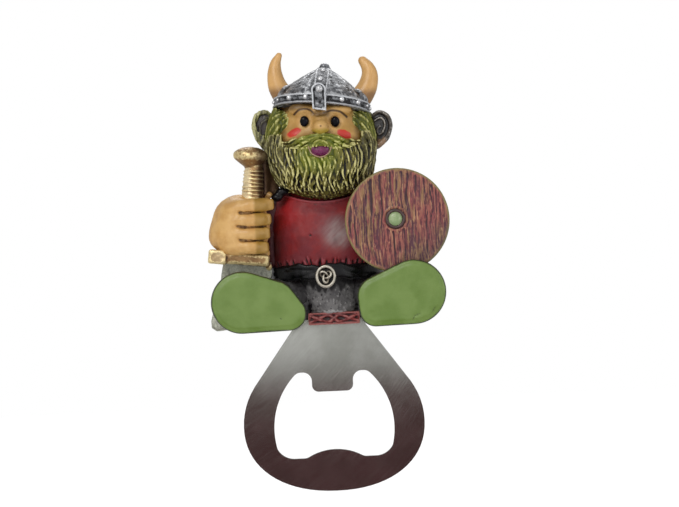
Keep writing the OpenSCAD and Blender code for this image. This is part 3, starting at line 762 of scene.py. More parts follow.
PAINTS = {
    "steel_plate": steel_paint(),
    "magnet_ferrite": ferrite_paint(),
    "epoxy_fill": epoxy_paint(),
    "sole_green": sole_paint(),
    "skin_tan": skin_paint(),
    "horn_tan": horn_paint(),
    "eye_black": gloss_paint("eye", srgb(7, 6, 10), srgb(16, 12, 24), (0.08, 0.16), 0.0, 0.16),
    "belt_black": gloss_paint("belt", srgb(4, 4, 5), srgb(10, 8, 14), (0.22, 0.36), 0.0, 0.3),
    "boss_green": gloss_paint("boss", srgb(132, 154, 106), srgb(154, 170, 126), (0.3, 0.5)),
    "boss_ring_brown": gloss_paint("boss_ring", srgb(58, 36, 34), srgb(76, 50, 46), (0.4, 0.6)),
    "sword_gold": gold_paint(),
    "blade_silver": blade_paint(),
    "shield_wood": wood_paint(),
    "tunic_red": wash_and_drybrush(
        "tunic", srgb(130, 22, 26), srgb(112, 28, 37), srgb(30, 10, 15), srgb(168, 84, 92),
        deep=(-0.12, -0.03), high=0.07, grain=4.5, roughness=(0.42, 0.56), brush_share=0.5,
        bump_depth=0.06, cloudy=0.035, shine=0.36,
        # grey_patch paints a grey sheen with rubbed streaks on the belly; dim paints shade on the flanks and
        # lower left
        tints=(("grey_patch", 0.92, srgb(156, 142, 140)), ("bright", 0.6, srgb(172, 20, 24)),
               ("dim", 0.6, srgb(52, 16, 24)))),
    "hem_red": wash_and_drybrush(
        "hem", srgb(98, 28, 30), srgb(116, 36, 36), srgb(40, 8, 12), srgb(178, 104, 98),
        deep=(-0.08, 0.02), high=0.09, grain=2.0, roughness=(0.3, 0.5), brush_share=0.6, coat=0.1),
    "skirt_grey": wash_and_drybrush(
        "skirt", srgb(100, 98, 99), srgb(124, 122, 122), srgb(28, 25, 30), srgb(164, 162, 162),
        deep=(-0.09, -0.02), high=0.06, grain=1.6, roughness=(0.42, 0.6), brush_share=0.85,
        # the shade_and_wash tint paints shade with a black wash under the belt, beside the hem and on the
        # legs
        metallic=0.25, bump_depth=0.1, tints=(("shade_and_wash", 0.9, srgb(16, 14, 18)),)),
    "boot_green": wash_and_drybrush(
        "boot", srgb(84, 104, 50), srgb(96, 116, 58), srgb(22, 26, 14), srgb(140, 158, 96),
        deep=(-0.10, -0.02), high=0.06, grain=3.0, roughness=(0.45, 0.6), brush_share=0.6,
        bump_depth=0.06),
    "beard_olive": wash_and_drybrush(
        "beard", srgb(88, 83, 22), srgb(112, 104, 40), srgb(18, 15, 10), srgb(214, 206, 140),
        deep=(-0.06, 0.042), high=0.095, grain=3.2, roughness=(0.38, 0.54), brush_share=0.9,
        coat=0.05, cloudy=0.015, shine=0.35,
        tints=(("dim", 0.5, srgb(46, 42, 30)), ("fresh", 0.3, srgb(146, 168, 24)))),
    "ear_olive": wash_and_drybrush(
        "ear_olive", srgb(92, 92, 48), srgb(114, 110, 62), srgb(24, 16, 16), srgb(200, 196, 142),
        deep=(-0.06, 0.04), high=0.11, grain=2.0, roughness=(0.35, 0.55), brush_share=0.75,
        coat=0.1, tints=(("dim", 0.85, srgb(44, 34, 36)),)),
    "ear_dark": wash_and_drybrush(
        "ear_dark", srgb(52, 46, 42), srgb(70, 60, 46), srgb(14, 11, 14), srgb(190, 184, 176),
        deep=(-0.04, 0.08), high=0.16, grain=1.6, roughness=(0.3, 0.5), brush_share=0.85,
        coat=0.2, bump_depth=0.06, tints=(("dim", 0.7, srgb(176, 138, 104)),)),
    "helmet_gunmetal": wash_and_drybrush(
        "helmet", srgb(96, 98, 103), srgb(136, 138, 142), srgb(14, 14, 18), srgb(222, 224, 228),
        deep=(-0.055, 0.0), high=0.05, grain=1.3, roughness=(0.3, 0.5), brush_share=0.9,
        metallic=0.5, coat=0.1, bump_depth=0.1, cloudy=0.05,
        tints=(("dim", 0.45, srgb(46, 46, 52)), ("trim", 0.85, srgb(200, 203, 208)))),
    "buckle_silver": wash_and_drybrush(
        "buckle", srgb(112, 104, 90), srgb(142, 134, 118), srgb(8, 7, 8), srgb(206, 200, 186),
        deep=(-0.04, 0.07), high=0.10, grain=1.5, roughness=(0.22, 0.38), brush_share=0.9,
        metallic=0.7, coat=0.1, bump_depth=0.03),
    "rivet_silver": wash_and_drybrush(
        "rivet", srgb(120, 122, 128), srgb(150, 152, 158), srgb(20, 20, 24), srgb(235, 236, 238),
        deep=(-0.02, 0.06), high=0.13, grain=1.0, roughness=(0.22, 0.36), brush_share=0.9,
        metallic=0.7, coat=0.1, bump_depth=0.03),
    "mouth_purple": mouth_paint(),
}

BACK = plane(1, 0.0, True)  # all that would stand behind the flat back


def near_path(points, path):
    """Distance of each point from a line of places."""
    best = np.full(len(points), FAR)
    for a, b in zip(path[:-1], path[1:]):
        run = b - a
        t = np.clip(((points - a) @ run) / (run @ run), 0, 1)
        best = np.minimum(best, np.linalg.norm(points - a - t[:, None] * run, axis=1))
    return best


def hull_outline(circles):
    """Outline distance of the band stretched round some circles, given as x, z and radius."""
    turns = np.radians(np.arange(0, 360, 6))
    spots = [(x + r * math.cos(t), z + r * math.sin(t)) for x, z, r in circles for t in turns]
    spots = sorted(spots)

    def half(seq):
        chain = []
        for p in seq:
            while len(chain) > 1 and (
                (chain[-1][0] - chain[-2][0]) * (p[1] - chain[-2][1])
                - (chain[-1][1] - chain[-2][1]) * (p[0] - chain[-2][0])
            ) <= 0:
                chain.pop()
            chain.append(p)
        return chain[:-1]

    return polygon_outline(half(spots) + half(spots[::-1]))


def polygon_outline(ring):
    """Distance from a closed outline in X and Z, negative inside it."""
    ring = np.array(ring, float)

    def outline(x, z):
        best = FAR**2 + 0 * (x + z)
        sign = 1.0 + 0 * (x + z)
        for a, b in zip(ring, np.roll(ring, -1, 0)):
            run = b - a
            t = np.clip(((x - a[0]) * run[0] + (z - a[1]) * run[1]) / (run @ run), 0, 1)
            best = np.minimum(best, (x - a[0] - t * run[0]) ** 2 + (z - a[1] - t * run[1]) ** 2)
            crosses = (a[1] > z) != (b[1] > z)
            side = x < a[0] + run[0] * (z - a[1]) / (run[1] if abs(run[1]) > 1e-9 else 1e-9)
            sign = np.where(crosses & side, -sign, sign)
        return sign * np.sqrt(best)

    return outline


def magnet_hollow(node):
    """The pocket in the back that holds a magnet and its glue."""
    centre, reach = middle(node), half_size(node)[0] + 0.3

    def dist(x, y, z):
        ring = np.sqrt((x - centre[0]) ** 2 + (z - centre[2]) ** 2) - reach
        return np.maximum(ring, -y - 2 * half_size(node)[1] - 0.3)

    return Form(dist, centre - (reach, 4, reach), centre + (reach, 4, reach))


LOWER_POCKET = magnet_hollow("magnet_lower")
UPPER_POCKET = magnet_hollow("magnet_upper")


def tang_channel():
    """The channel in the back that holds the plate's tang and its glue."""
    low, high = corners("tang_epoxy")
    centre = (low + high) / 2 + (0, 1, -3)
    return block(centre, (high - low) / 2 + (0, 1, 3), 0.01)


CHANNEL = tang_channel()


# ------------------------------------------------------------------ body

def sculpt_tunic():
    """Tunic with a torn, pleated lower edge, a neck welt, a painted grey sheen on the belly streaked like
    rubbed paint, and painted shade on its flanks and lower left.
    """
    core = Barrel(P(-0.3, -5.5, 1.5), [
        (-10.4, 0, 0, 13.8, 10.2), (-7.5, 0, 0, 14.3, 10.9), (0, 0, 0, 14.5, 11.5),
        (5.5, 0, 0, 14.2, 10.7), (9, 0, 0.2, 13.0, 9.3), (12.4, 0, 0.6, 11.0, 7.4),
    ])
    clay = Clay(core.form, COARSE)
    clay.cut(BACK).cut(LOWER_POCKET).cut(CHANNEL)
    dice = np.random.default_rng(3)
    pleats = [(s + dice.normal(0, 0.5), dice.uniform(0.8, 2.6), dice.normal(0, 0.12))
              for s in np.arange(-40, 40, 1.55)]
    centre, low = P(-0.3, -5.5, -6.0), Z0 - 6.0
    pit = P(-4.0, -16.6, 1.5)

    def relief(p):
        around = np.arctan2(p[:, 0] - centre[0], centre[1] - p[:, 1]) * 13.0
        up = p[:, 2] - low
        shift = 0.22 * rough(p, 4.5, 2) + 0.06 * rough(p, 1.2, 3)
        for s, reach, lean in pleats:
            across = (around - s - lean * up) / (0.16 + 0.30 * np.clip(1 - up / reach, 0, 1))
            shift -= 0.45 * np.exp(-(across**2)) * ramp(up, reach, 0.25 * reach)
        neck = up - 15.8 - 0.022 * (p[:, 0] - centre[0]) ** 2
        shift += 0.35 * np.exp(-((neck / 0.28) ** 2)) - 0.5 * ramp(neck, 0.2, 0.7)
        return shift - 0.5 * np.exp(-(np.sum((p - pit) ** 2, 1) / 0.06))

    # painted highlight: a grey sheen patch on the belly, broken into slanting streaks like rubbed paint
    def grey_patch(p):
        a = (p[:, 0] - X0 - 3.4) / 4.0
        b = (p[:, 2] - Z0 - 1.8) / 3.9
        slant = np.stack([p[:, 0] - p[:, 2], p[:, 1], p[:, 0] + p[:, 2]], 1)
        brushed = 0.72 + 0.28 * noise(slant, (0.45, 4, 3.2), 4) + 0.15 * noise(p, 1.1, 5)
        return np.exp(-(a**2 + b**2) ** 1.5) * brushed

    def bright(p):
        a = (p[:, 0] - X0 + 9.5) / 3.0
        b = (p[:, 2] - Z0 - 8.0) / 4.2
        return np.exp(-(a**2 + b**2))

    # painted shade: darker on both flanks and towards the lower left, with random darker patches
    def dim(p):
        across, up = p[:, 0] - centre[0], p[:, 2] - low
        low_left = ramp(-across - 0.35 * up, 4.0, 13.0) * ramp(up, 12, 5)
        patch = ramp(rough(p, 2.6, 6), 0.1, 0.6)
        flank = ramp(np.abs(across), 11.5, 14.0)
        return np.clip(0.7 * low_left + 0.35 * patch + 0.6 * flank, 0, 1)

    finish_clay("tunic", clay, "tunic_red", relief, {"grey_patch": grey_patch, "bright": bright, "dim": dim})


def folds(seed, deep=0.35, size=2.4):
    """Relief of soft folds that ring a limb, broken up by noise."""

    def relief(p):
        along = noise(p, (size, size * 3, size), seed)
        return deep * along + 0.3 * deep * rough(p, 0.9, seed + 1)

    return relief


def sculpt_sleeves():
    clay = Clay(rod(P(-10, -5.4, 8), P(-17, -5.4, 4.4), 4.6, 4.8), COARSE, 6.0)
    clay.add(rod(P(-17, -5.4, 4.4), P(-21.5, -8.8, 3.8), 4.8, 4.4), 1.5)
    # a rod behind the fist that fills the gap to the tunic, darkened below as painted shade
    clay.add(rod(P(-14.2, -8.6, -5.4), P(-14.2, -8.6, 2.0), 1.5, 2.0), 1.0)
    clay.cut(BACK)
    armpit = P(-16.6, 0, 0)[0]
    # the strip of sleeve nearest the tunic, with the rod behind the fist, is painted shade
    finish_clay("sleeve_right", clay, "tunic_red", folds(21),
                {"dim": lambda p: 1.3 * ramp(p[:, 0], armpit, armpit + 1.4)})
    clay = Clay(rod(P(10, -7, 8), P(16.8, -6.8, 4.4), 5.2, 5.3), COARSE, 6.0)
    clay.add(rod(P(16.8, -6.8, 4.4), P(17.5, -11.5, 4), 5.2, 4.2), 1.5)
    clay.cut(BACK)
    finish_clay("sleeve_left", clay, "tunic_red", folds(22))


def sculpt_belt():
    """Soft strap that waves a little around the waist."""
    centre = P(-0.2, -5.5, -8.0)

    def dist(x, y, z):
        px, py = (x - centre[0]) / 13.6, (y - centre[1]) / 11.2
        near = np.sqrt(px**2 + py**2)
        steep = np.sqrt((px / 13.6) ** 2 + (py / 11.2) ** 2) + 1e-6
        wave = 0.28 * np.sin((x - centre[0]) * 0.62) + 0.16 * np.sin((x - centre[0]) * 1.7 + 1.0)
        q = np.abs(near * (near - 1) / steep) - 0.2
        r = np.abs(z - centre[2] - wave) - 1.35
        out = np.sqrt(np.maximum(q, 0) ** 2 + np.maximum(r, 0) ** 2)
        return out + np.minimum(np.maximum(q, r), 0) - 0.75

    form = Form(dist, centre - (15.0, 12.6, 2.8), centre + (15.0, 12.6, 2.8))
    clay = Clay(form, 0.25)
    clay.cut(BACK)

    def relief(p):
        crease = noise(p, (9.0, 9.0, 1.6), 31)
        return -0.14 * np.exp(-((crease / 0.16) ** 2)) + 0.12 * noise(p, (4.0, 4.0, 1.8), 32)

    finish_clay("belt", clay, "belt_black", relief)


def sculpt_buckle():
    """Oval buckle with a rim and a three-armed knot."""
    centre = P(-0.5, -18.2, -9.2)

    def oval(grow):
        a, b = 2.6 + grow, 2.9 + grow

        def outline(x, z):
            px, pz = (x - centre[0]) / a, (z - centre[2]) / b
            near = np.sqrt(px**2 + pz**2)
            steep = np.sqrt((px / a) ** 2 + (pz / b) ** 2) + 1e-6
            return near * (near - 1) / steep

        return outline

    low, high = (centre[0] - 2.8, centre[2] - 3.1), (centre[0] + 2.8, centre[2] + 3.1)
    disc = slab_of(oval(0), centre[1] + 0.25, 0.75, 0.2, low, high)
    clay = Clay(disc, 0.14)
    rim = slab_of(lambda x, z: np.abs(oval(-0.36)(x, z)) - 0.38, centre[1], 0.85, 0.25, low, high)
    clay.add(rim, 0.1)
    turns = np.linspace(0, 2 * math.pi, 73)
    knot = np.array([
        (centre[0] + 0.50 * (math.sin(t) + 2 * math.sin(2 * t)),
         centre[1] - 0.55 - 0.14 * math.sin(3 * t),
         centre[2] + 0.1 + 0.56 * (math.cos(t) - 2 * math.cos(2 * t))) for t in turns
    ])
    clay.add_strand(knot, np.full(len(knot), 0.36), 0.04)
    finish_clay("belt_buckle", clay, "buckle_silver",
                lambda p: 0.03 * rough(p, 0.5, 33))


def sculpt_clasp():
    """The dark knob on the right shoulder."""
    clay = Clay(ball(P(-12.1, -13.4, 11.5), (1.5, 1.3, 1.1)), 0.16)
    clay.add(ball(P(-10.7, -13.2, 12.9), (1.6, 1.3, 1.1)), 0.9)
    clay.cut(rod(P(-12.6, -15.0, 12.8), P(-10.4, -14.6, 11.4), 0.35, 0.35), 0.3)
    finish_clay("shoulder_clasp", clay, "belt_black",
                lambda p: 0.08 * rough(p, 0.8, 34))


def sculpt_skirt():
    """Furry skirt, black under the belt and beside the hem, as painted shade over a black wash."""
    core = Barrel(P(0.4, -5.6, -14.0), [
        (5.2, -0.6, 0, 9.6, 9.3), (3.5, -0.5, 0, 9.3, 9.0), (0, 0.2, 0, 8.0, 8.4),
        (-3.0, 0.7, 0, 7.0, 8.0), (-4.6, 0.8, 0, 6.6, 7.8),
    ])
    clay = Clay(core.form, 0.25)
    clay.add(block(P(-6.4, -9.6, -18.4), (1.3, 1.5, 2.9), 0.7), 0.8)
    clay.add(block(P(8.4, -9.6, -19.0), (1.1, 1.5, 2.2), 0.6), 0.8)
    clay.cut(BACK).cut(CHANNEL).cut(block(P(0, -1.5, -22.0), (25, 4.0, 4.6), 0.01))
    top = Z0 - 10.0
    sides = P(1.2, 0, -15.2)

    def relief(p):
        fur = rough(p, (0.42, 0.8, 0.6), 41)
        return 0.17 * fur + 0.14 * rough(p, 2.4, 42)

    # painted shade with black wash: a ragged black band under the belt and black beside the hem
    def shade_and_wash(p):
        drop = top - p[:, 2] + 1.6 * noise(p, (0.8, 2.0, 3.0), 43) + 1.1 * noise(p, (2.6, 3, 4), 44)
        beside = ramp(np.abs(p[:, 0] - sides[0]) + 0.5 * noise(p, 0.8, 46), 5.6, 6.4)
        below = ramp(p[:, 2], sides[2] + 1.0, sides[2] - 1.0)
        return np.maximum(ramp(drop, 3.2, 1.4), beside * below)

    finish_clay("skirt", clay, "skirt_grey", relief, {"shade_and_wash": shade_and_wash})


def sculpt_legs():
    for node, start, end, seed in (
        ("leg_right", (-7.4, -7.0, -12.6), (-15.0, -12.0, -14.9), 51),
        ("leg_left", (8.0, -7.0, -12.8), (15.5, -12.0, -14.3), 52),
    ):
        clay = Clay(rod(P(*start), P(*end), 4.6, 5.2), COARSE)
        clay.cut(BACK).cut(CHANNEL).cut(block(P(0, -1.5, -26.0), (25, 4.0, 8.4), 0.01))
        finish_clay(node, clay, "skirt_grey",
                    lambda p, s=seed: 0.25 * noise(p, (1.6, 1.6, 5.0), s) + 0.15 * rough(p, 0.7, s),
                    # painted shade with black wash: the legs sit in shade between skirt and boots and are
                    # darkened all over
                    {"shade_and_wash": lambda p: np.full(len(p), 0.75)})


def sculpt_hem():
    """Red hem: two rails and a braid of two crossing strands."""
    centre = P(1.15, -9.45, -20.0)
    clay = Clay(block(centre + (0, -0.12, 0), (6.6, 3.2, 1.35), 0.4), 0.16)
    front = centre[1] - 3.2
    for rail in (-1.25, 1.25):
        clay.add(rod(centre + (-6.3, -3.2, rail), centre + (6.3, -3.2, rail), 0.32, 0.32), 0.1)
    pitch = 8.0
    xs = np.linspace(-6.2, 6.2, 50)
    for phase in (0, math.pi):
        turn = 2 * math.pi * xs / pitch + phase
        strand = np.stack([
            centre[0] + xs, front - 0.10 + 0.08 * np.sin(1.7 * xs + phase),
            centre[2] + 0.76 * np.sin(turn + 0.35 * np.sin(0.8 * xs)),
        ], 1)
        clay.add_strand(strand, 0.42 + 0.12 * np.cos(2 * turn), 0.06)
    clay.cut(CHANNEL)
    finish_clay("hem_braid", clay, "hem_red",
                lambda p: 0.05 * rough(p, 0.6, 45))


# ------------------------------------------------------------------ feet

# Each sole is the band stretched round some circles: x, z and radius.
SOLES = {
    "right": ((-22.0, -14.9, 7.9), (-10.1, -18.2, 4.3), (-13.6, -14.6, 5.0)),
    "left": ((21.7, -14.0, 8.2), (11.9, -18.2, 4.2), (12.2, -14.6, 4.9), (10.2, -20.1, 1.7)),
}
ANKLES = {"right": (-17.6, -12.6, -14.8), "left": (17.8, -12.6, -14.2)}
CRACKS = {
    "right": (((-12.4, -19.3), (-12.1, -19.5)),),
    "left": (((21.0, -21.2), (21.7, -20.0), (22.9, -19.6)), ((26.2, -19.0), (26.9, -18.1))),
}


def sole_outline(side, inset):
    return hull_outline([(*XZ((x, z))[0], r - inset) for x, z, r in SOLES[side]])


def sculpt_sole(side, seed):
    """Flat sole with a rounded edge that rises a little inside it, and small cracks."""
    node = "sole_" + side
    outline = sole_outline(side, 0)
    low, high = corners(node)
    front = low[1]
    flat = slab_of(outline, middle(node)[1], half_size(node)[1], 1.15, low[[0, 2]], high[[0, 2]])
    clay = Clay(flat, COARSE, 1.0)
    cracks = [np.insert(XZ(*line), 1, front, axis=1) for line in CRACKS[side]]
    for line in cracks:
        clay.cut_strand(line, np.full(len(line), 0.2), 0.15)

    def puff(p):
        inside = np.clip(-outline(p[:, 0], p[:, 2]), 0, 4)
        face = ramp(front + 1.4 - p[:, 1], 0, 1)
        groove = -0.15 * np.exp(-(((inside - 0.95) / 0.35) ** 2))
        return face * (groove + 0.10 * rough(p, 5.0, seed) + 0.05 * rough(p, 1.4, seed + 2))

    # painted shade with some edge wash on the rounded edge behind the front face, and dark paint along the
    # cracks
    def edge(p):
        dark = [0.6 * ramp(near_path(p, line), 0.4, 0.12) for line in cracks]
        return np.max([ramp(p[:, 1] - front, 0.10, 0.66), *dark], 0)

    finish_clay(node, clay, "sole_green", puff, {"edge": edge})


def sculpt_boot(side):
    """Boot that narrows from the back of the sole to the ankle."""
    low, high = corners("sole_" + side)
    upper = slab_of(sole_outline(side, 0.45), high[1] + 1.0, 1.1, 0.4, low[[0, 2]], high[[0, 2]])
    clay = Clay(upper, COARSE)
    clay.add(ball(P(*ANKLES[side]), (7.0, 4.6, 6.4)), 5.0)
    clay.cut(plane(1, high[1] - 0.05, False))
    clay.cut(BACK)
    finish_clay("boot_" + side, clay, "boot_green", folds(63, 0.3, 1.8))


# ------------------------------------------------------------------ sword arm

# Places along each finger from the first downwards, and its radii there.
FINGERS = (
    (((-24.0, -17.2, 8.6), (-19.5, -18.9, 9.5), (-15.6, -18.3, 9.75), (-14.7, -16.6, 9.8)),
     (1.9, 1.85, 1.72, 1.45)),
    (((-25.2, -17.0, 5.3), (-20.0, -19.2, 5.9), (-16.2, -18.6, 6.0), (-15.2, -16.8, 6.0)),
     (1.9, 1.85, 1.7, 1.4)),
    (((-25.6, -17.0, 2.0), (-20.3, -19.1, 2.4), (-16.5, -18.5, 2.5), (-15.7, -16.7, 2.5)),
     (1.8, 1.75, 1.6, 1.35)),
    (((-25.0, -16.9, -0.8), (-20.3, -18.7, -0.85), (-17.0, -18.1, -1.1), (-16.0, -16.6, -1.1)),
     (1.75, 1.75, 1.6, 1.35)),
)
FINGER_ENDS = ((9.75, -12.9), (6.0, -13.7), (2.5, -14.2), (-1.1, -14.7))  # height of each, and x of its end
CREASES = ((7.8, -21.9), (4.25, -22.8), (0.8, -22.2))  # height of each, and x where it begins


def add_fingers(clay):
    for line, radii in FINGERS:
        path = curve([P(*p) for p in line], 12)
        widths = profile(12, radii)
        blend = profile(12, (2.0, 0.8, 0.25, 0.15), (0, 0.2, 0.35, 1))
        for i in range(11):
            clay.add(rod(path[i], path[i + 1], widths[i], widths[i + 1]), blend[i])
    for z, end in FINGER_ENDS:
        clay.add(block(P((end - 17.6) / 2, -17.6, z), ((end + 17.6) / 2, 1.7, 1.5), 0.75), 0.25)
    for z, start in CREASES:
        seam = clay.front(curve(XZ((start, z + 0.3), (-21.0, z + 0.05), (-17.0, z), (-13.8, z)), 16))
        seam[:, 1] = np.minimum(seam[:, 1], Y0 + profile(16, (-17.5, -18.6, -17.6)))
        seam[:, 1] += profile(16, (-0.1, 0.25, 0.5), (0, 0.3, 1))
        clay.cut_strand(seam, profile(16, (0.15, 0.38, 0.52), (0, 0.3, 1)), 0.4)


def sculpt_fist():
    """Right fist around the sword's grip: palm, fingers, thumb and the heel of the hand."""
    palm = joined(
        4.0, ball(P(-22.2, -13.4, 7.0), (6.2, 5.6, 5.4)), ball(P(-23.2, -13.4, 2.0), (6.8, 5.8, 4.6)),
        ball(P(-20.5, -12.8, 4.0), (5.6, 5.0, 6.6)),
    )
    clay = Clay(palm, 0.22, 7.0)
    add_fingers(clay)
    thumb = curve([P(-21.5, -11.0, 9.6), P(-18.5, -10.2, 11.4), P(-15.6, -10.8, 12.2),
                   P(-13.8, -12.2, 12.2)], 10)
    clay.add_strand(thumb, np.linspace(1.8, 0.6, 10), 0.8)
    clay.add(rod(P(-22, -9.5, 4), P(-21.5, -13, 4), 4.6, 4.8), 2.0)
    clay.add(rod(P(-22, -13.4, -1.2), P(-15.9, -13.4, -2.6), 1.7, 1.4), 0.8)
    band = X0 - 17.9

    def shade(p):
        inner = ramp(p[:, 0], band - 0.45, band + 0.45) * ramp(Y0 - p[:, 1], 15.5, 17.0)
        return inner * (1 - 0.2 * noise(p, 1.8, 74))

    finish_clay("hand_right", clay, "skin_tan", lambda p: 0.10 * rough(p, 1.6, 71) + 0.03 * rough(p, 0.5, 72),
                {"shade": shade}, passes=2)


def sculpt_left_hand():
    """The fist behind the shield."""
    clay = Clay(ball(P(17.5, -14.8, 4), (4.4, 3.4, 4.4)), COARSE)
    for z in (6.6, 4.2, 1.8):
        clay.add(rod(P(14.6, -16.9, z), P(19.8, -17.1, z), 1.3, 1.3), 0.5)
    finish_clay("hand_left", clay, "skin_tan", lambda p: 0.06 * rough(p, 1.4, 73))


def dark_side(middle_x, reach):
    """Paint mark for the shaded side of a round gilt form."""
    return lambda p: ramp(p[:, 0] - middle_x, 0.05 * reach, 0.75 * reach)


def sculpt_pommel():
    tilt = turned("Y", 5)
    clay = Clay(ball(P(-18.35, -14, 22.4), (4.45, 4.1, 2.3), tilt), 0.18, 2.5)
    clay.add(ball(P(-18.3, -14, 21.0), (3.0, 2.9, 1.5), tilt), 0.6)
    clay.add(rod(P(-17.8, -14, 19.4), P(-17.95, -14, 21.2), 2.2, 2.5), 0.5)
    dark = dark_side(X0 - 17.9, 3.0)
    finish_clay("sword_pommel", clay, "sword_gold",
                lambda p: 0.12 * rough(p, 1.8, 81) + 0.04 * rough(p, 0.6, 82),
                # painted shade, darker on the right side
                {"shade": lambda p: 0.12 + 0.88 * dark(p)})


def sculpt_grip():
    """Grip bound with tilted rings, and the gilt web between it and the body, which lies in painted shade."""
    foot, head = P(-18.9, -14, 6.0), P(-17.65, -14, 19.6)
    clay = Clay(rod(foot, head, 3.1, 2.25), 0.16, 3.5)
    clay.add(rod(P(-20.2, -14, -2.6), foot, 2.3, 2.7), 0.4)
    clay.add(rod(P(-15.6, -11.2, 13.0), P(-14.9, -11.0, 21.5), 1.7, 1.4), 1.0)
    clay.add(rod(P(-14.2, -10.4, 12.8), P(-13.8, -10.2, 19.5), 1.3, 1.2), 0.8)
    clay.add(rod(P(-12.9, -10.0, 13.4), P(-12.8, -9.8, 17.8), 1.5, 1.0), 0.8)
    dice = np.random.default_rng(8)
    first, last, pitch = 10.6, 19.3, 0.98
    for z in np.arange(first, last, pitch):
        share = (z - 6.0) / 13.6
        wide = 3.1 - 0.5 * share + dice.normal(0, 0.05)
        ring = (wide, wide, dice.uniform(0.5, 0.7))
        clay.add(ball(foot + (head - foot) * share, ring, turned("Y", dice.normal(4, 4.5))), 0.2)
    finish_clay("sword_grip", clay, "sword_gold", lambda p: 0.05 * rough(p, 0.9, 83),
                # painted shade on the grip's right side and over the web, painted highlight on its left side
                {"shade": dark_side(X0 - 17.9, 2.4),
                 "bright": lambda p: 0.95 * ramp(p[:, 0], X0 - 18.1, X0 - 19.2)})


def sculpt_guard():
    """Cross guard with a thicker block at its outer end."""
    tilt = turned("Y", 7)
    centre = P(-22.4, -14, -3.7)
    clay = Clay(block(centre + (0.3, 0, -0.05), (7.4, 4.1, 1.5), 0.75, tilt), 0.18)
    clay.add(block(centre + (-5.5, -0.2, 0.68), (2.3, 4.4, 1.8), 0.65, tilt), 0.15)
    clay.cut(rod(centre + (-3.3, -8, 2.0), centre + (-3.3, 8, 2.0), 0.5, 0.5), 0.3)
    clay.add(ball(centre + (7.5, -1.5, -2.4), (0.8, 0.8, 1.0)), 0.5)
    finish_clay("sword_guard", clay, "sword_gold",
                lambda p: 0.10 * rough(p, (1.1, 1.1, 0.8), 84) + 0.04 * rough(p, 0.4, 85),
                # painted shade on the bar and painted highlight on the outer block
                {"shade": lambda p: 0.3 * ramp(p[:, 0] - centre[0], -3.6, -3.0),
                 "bright": lambda p: 0.4 * ramp(p[:, 0] - centre[0], -3.2, -4.0)})


def sculpt_blade():
    ring = XZ((-26.6, -4), (-27.6, -10), (-30.4, -19.4), (-30.3, -21.2), (-29.0, -22.1),
              (-25.8, -21.9), (-18.6, -17), (-13.9, -8.2), (-14.4, -5.0))
    low, high = corners("sword_blade")
    flat = slab_of(polygon_outline(ring), (low[1] + high[1]) / 2, 1.1, 0.55, low[[0, 2]], high[[0, 2]])
    finish_clay("sword_blade", Clay(flat, 0.22), "blade_silver",
                lambda p: 0.16 * noise(p, (1.2, 3, 4.0), 86) + 0.06 * rough(p, 0.6, 87))


# ------------------------------------------------------------------ shield

BOSS = P(17.8, -21.5, 4.7)


def sculpt_shield_board():
    """Round board with wood grain, a ring pressed around the boss and a plain painted rim."""
    centre = P(18.3, -20.0, 4.3)
    reach, half_t = half_size("shield_board")[0], 1.5
    front = centre[1] - half_t

    def outline(x, z):
        return np.sqrt((x - centre[0]) ** 2 + (z - centre[2]) ** 2) - reach

    def off_centre(p):
        return np.hypot(p[:, 0] - centre[0], p[:, 2] - centre[2])

    disc = slab_of(outline, centre[1], half_t, 0.5, centre[[0, 2]] - reach, centre[[0, 2]] + reach)

    def grain(p):
        bend = 0.9 * noise(p, (7, 60, 9), 91) + 0.35 * noise(p, (2.5, 60, 3.5), 92)
        q = p + np.stack([bend, 0 * bend, 0 * bend], 1)
        wide = noise(q, (0.85, 90, 13), 93)
        fine = noise(q, (0.48, 90, 7), 94)
        lines = -0.32 * np.exp(-((wide / 0.26) ** 2)) * (0.7 + 0.3 * noise(p, (2, 9, 4), 95))
        lines -= 0.16 * np.exp(-((fine / 0.25) ** 2))
        return lines + 0.08 + 0.05 * rough(p, 0.7, 96)

    def relief(p):
        face = ramp(front + 0.9 - p[:, 1], 0, 0.5)
        out = np.hypot(p[:, 0] - BOSS[0], p[:, 2] - BOSS[2])
        ring = 0.22 * np.exp(-(((out - 3.0) / 0.25) ** 2))
        calm = ramp(out, 2.7, 3.4)
        return face * (grain(p) * calm * ramp(reach - off_centre(p), 0.3, 1.3) + ring)

    def rim(p):
        return ramp(off_centre(p) + 0.15 * noise(p, 1.4, 97), reach - 0.6, reach - 0.2)

    # darker towards the lower outer edge
    def lower_edge_dark(p):
        across = 0.62 * (p[:, 0] - centre[0]) - 0.78 * (p[:, 2] - centre[2])
        return ramp(across + 1.5 * noise(p, 2.6, 98), 4.0, 11.0)

    finish_clay("shield_board", Clay(disc, FINE), "shield_wood", relief, {"rim": rim, "lower_edge_dark": lower_edge_dark})


def sculpt_boss():
    """The green boss and the brown ring around it."""
    turns = np.linspace(0, 2 * math.pi, 37)
    ring, thick = 2.15, 0.45
    loop = BOSS + np.stack([ring * np.cos(turns), np.full(37, -0.1), ring * np.sin(turns)], 1)
    clay = Clay(rod(loop[0], loop[1], thick, thick), 0.14, 6.0)
    clay.add_strand(loop, np.full(37, thick))
    finish_clay("shield_boss_ring", clay, "boss_ring_brown", lambda p: 0.05 * rough(p, 0.7, 99))
    finish_clay("shield_boss", Clay(ball(BOSS, (1.85, 0.95, 1.85)), 0.14), "boss_green",
                lambda p: 0.05 * rough(p, 0.8, 100))


# ------------------------------------------------------------------ head

